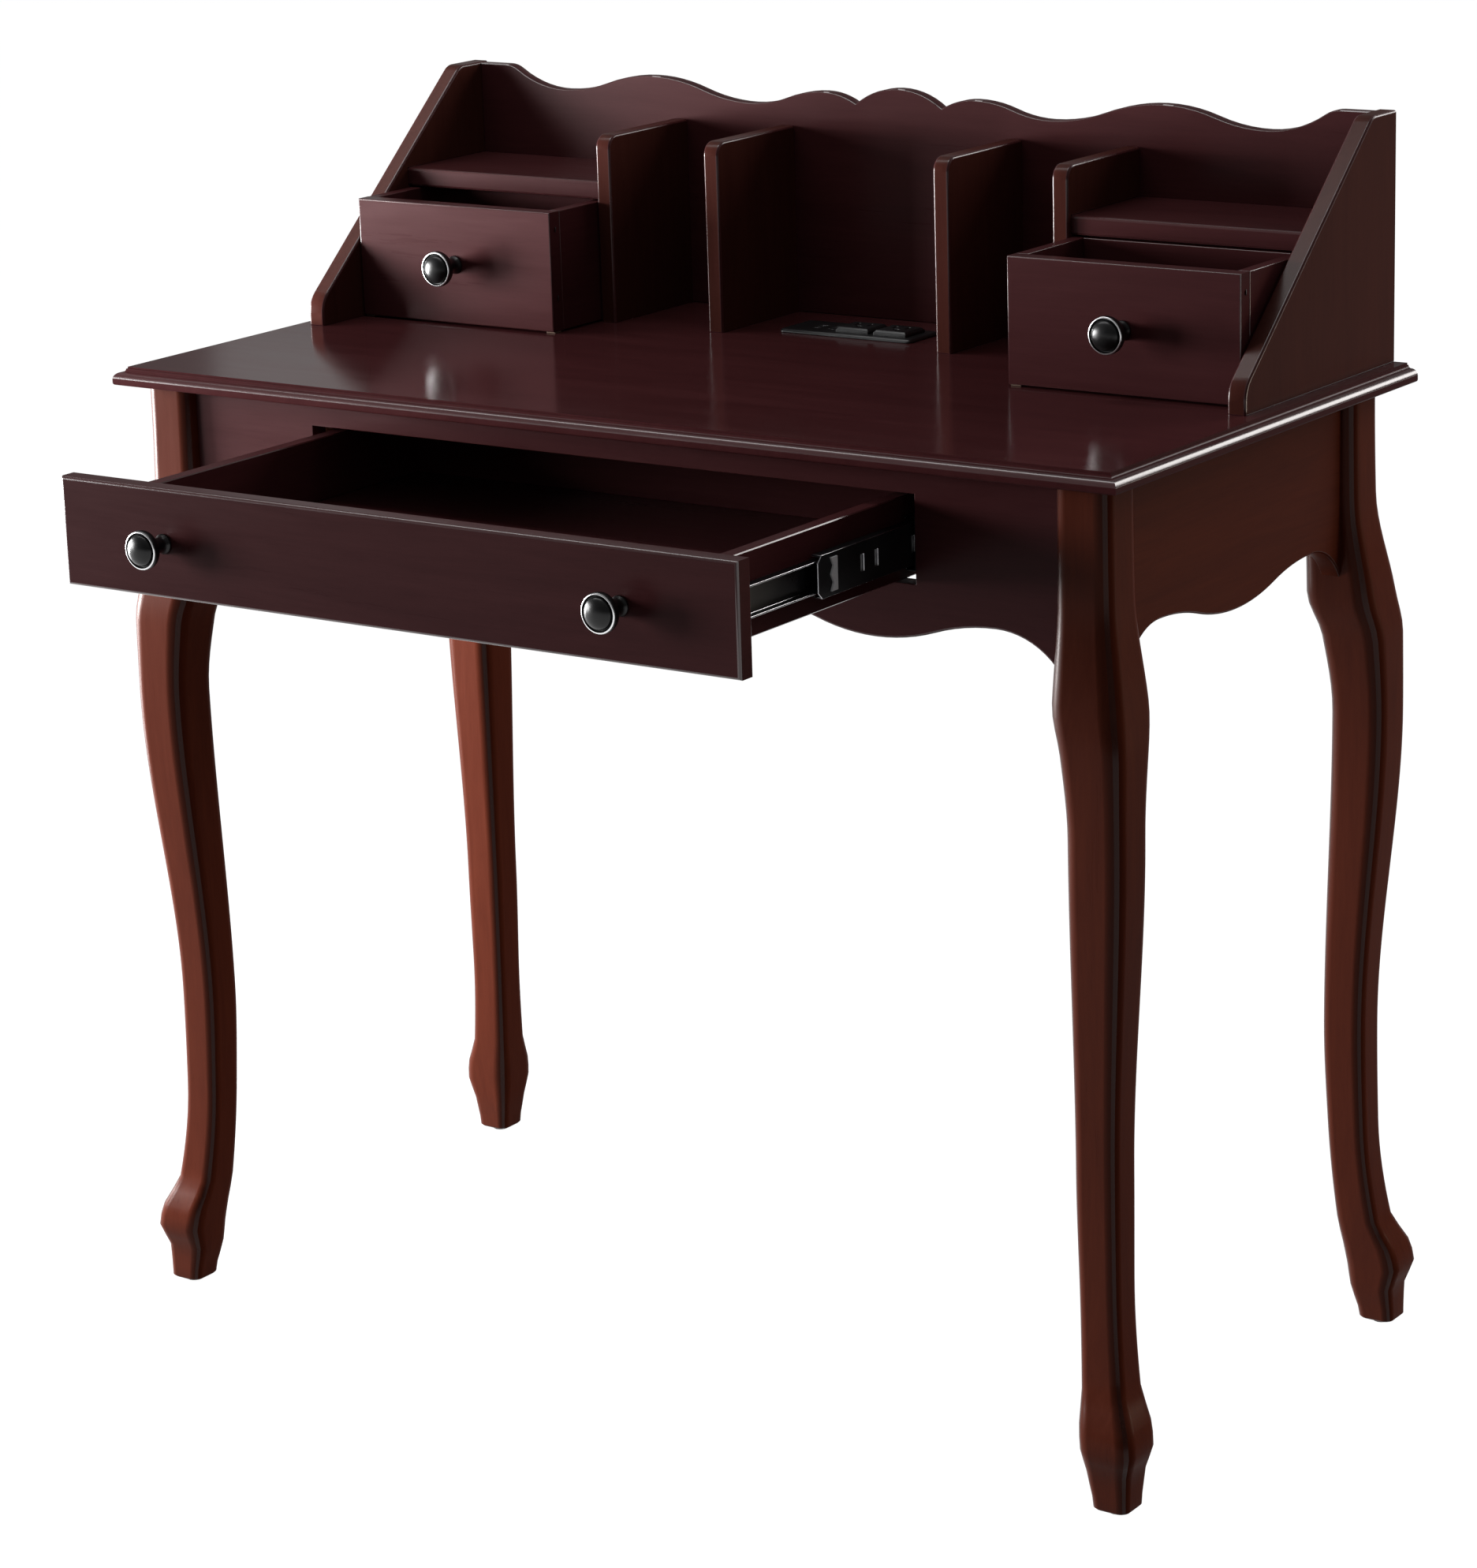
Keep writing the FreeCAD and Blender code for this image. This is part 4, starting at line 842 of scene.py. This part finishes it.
bpy.ops.mesh.primitive_plane_add(size=120, location=(0, 0, 0))
floor = bpy.context.active_object
floor.name = "floor"
floor_paint = bpy.data.materials.new("white_floor")
floor_paint.use_nodes = True
tree = floor_paint.node_tree
tree.nodes.remove(tree.nodes["Principled BSDF"])
matt = add_node(tree, "BsdfDiffuse", {"Color": (0.09, 0.09, 0.09, 1)})
white = add_node(tree, "Emission", {"Color": (1, 1, 1, 1)}, {"Strength": glow(tree, 0.985)})
both = add_node(tree, "AddShader")
tree.links.new(matt.outputs[0], both.inputs[0])
tree.links.new(white.outputs[0], both.inputs[1])
tree.links.new(both.outputs[0], tree.nodes["Material Output"].inputs["Surface"])
floor.data.materials.append(floor_paint)

world = bpy.data.worlds.new("studio")
scene.world = world
world.use_nodes = True
tree = world.node_tree
direction = tree.nodes.new("ShaderNodeTexCoord").outputs["Generated"]
split = add_node(tree, "SeparateXYZ", links={"Vector": direction})
level = between(tree, split.outputs["Z"], 0.0, 1.0, 0.08, 0.28)
backing = tree.nodes["Background"]
tree.links.new(level, backing.inputs["Strength"])
backing.inputs["Color"].default_value = (1, 1, 1, 1)


def add_panel(name, place, target, energy, wide, tall, tint=(1, 1, 1)):
    """Lamp panel at a place, turned towards a target."""
    bpy.ops.object.light_add(type="AREA")
    lamp = bpy.context.active_object
    lamp.name = name
    lamp.data.energy = energy
    lamp.data.shape = "RECTANGLE"
    lamp.data.size = wide
    lamp.data.size_y = tall
    lamp.data.color = tint
    lamp.location = place
    lamp.rotation_euler = (Vector(target) - Vector(place)).to_track_quat("-Z", "Y").to_euler()


add_panel("left_softbox", (-1.50, -0.35, 0.72), (-0.2, 0.2, 0.75), 62, 0.36, 0.6)
add_panel("left_low", (-1.50, -0.05, 0.40), (0, 0.2, 0.4), 9, 0.4, 0.6)
add_panel("front_fill", (-2.60, -1.60, 1.00), (0, 0, 0.7), 72, 0.9, 0.9)
add_panel("overhead", (-0.80, -0.04, 2.75), (-0.80, -0.04, 0), 17, 2.2, 0.48)
add_panel("rear_right", (1.20, 2.10, 1.80), (0.455, 0.1, 0.765), 31, 0.9, 1.4, (1.0, 0.97, 0.95))
add_panel("right_low", (2.00, 1.50, 0.45), (0.455, 0.1, 0.6), 9, 0.6, 0.6, (1.0, 0.85, 0.66))
add_panel("rear_left", (-1.80, 2.40, 1.60), (-0.3, 0, 0.77), 0.75, 1.2, 0.8)

FOCAL_PIXELS = 5775.0
FRAME_HEIGHT = 1988.0
SENSOR_HEIGHT = 24.0
CAMERA_PLACE = (1.9924, -2.7275, 1.4247)
azimuth, elevation, roll = (math.radians(angle) for angle in (35.21, 15.82, -1.81))
forward = Vector((-math.sin(azimuth) * math.cos(elevation), math.cos(azimuth) * math.cos(elevation),
                  -math.sin(elevation)))
level_right = Vector((math.cos(azimuth), math.sin(azimuth), 0))
level_up = level_right.cross(forward)
camera_right = level_right * math.cos(roll) + level_up * math.sin(roll)
camera_up = level_up * math.cos(roll) - level_right * math.sin(roll)
bpy.ops.object.camera_add()
camera = bpy.context.active_object
camera.data.sensor_fit = "VERTICAL"
camera.data.sensor_height = SENSOR_HEIGHT
camera.data.lens = FOCAL_PIXELS / FRAME_HEIGHT * SENSOR_HEIGHT
camera.data.clip_end = 200.0
axes = Matrix((camera_right, camera_up, -forward)).transposed()
camera.matrix_world = Matrix.Translation(CAMERA_PLACE) @ axes.to_4x4()
scene.camera = camera
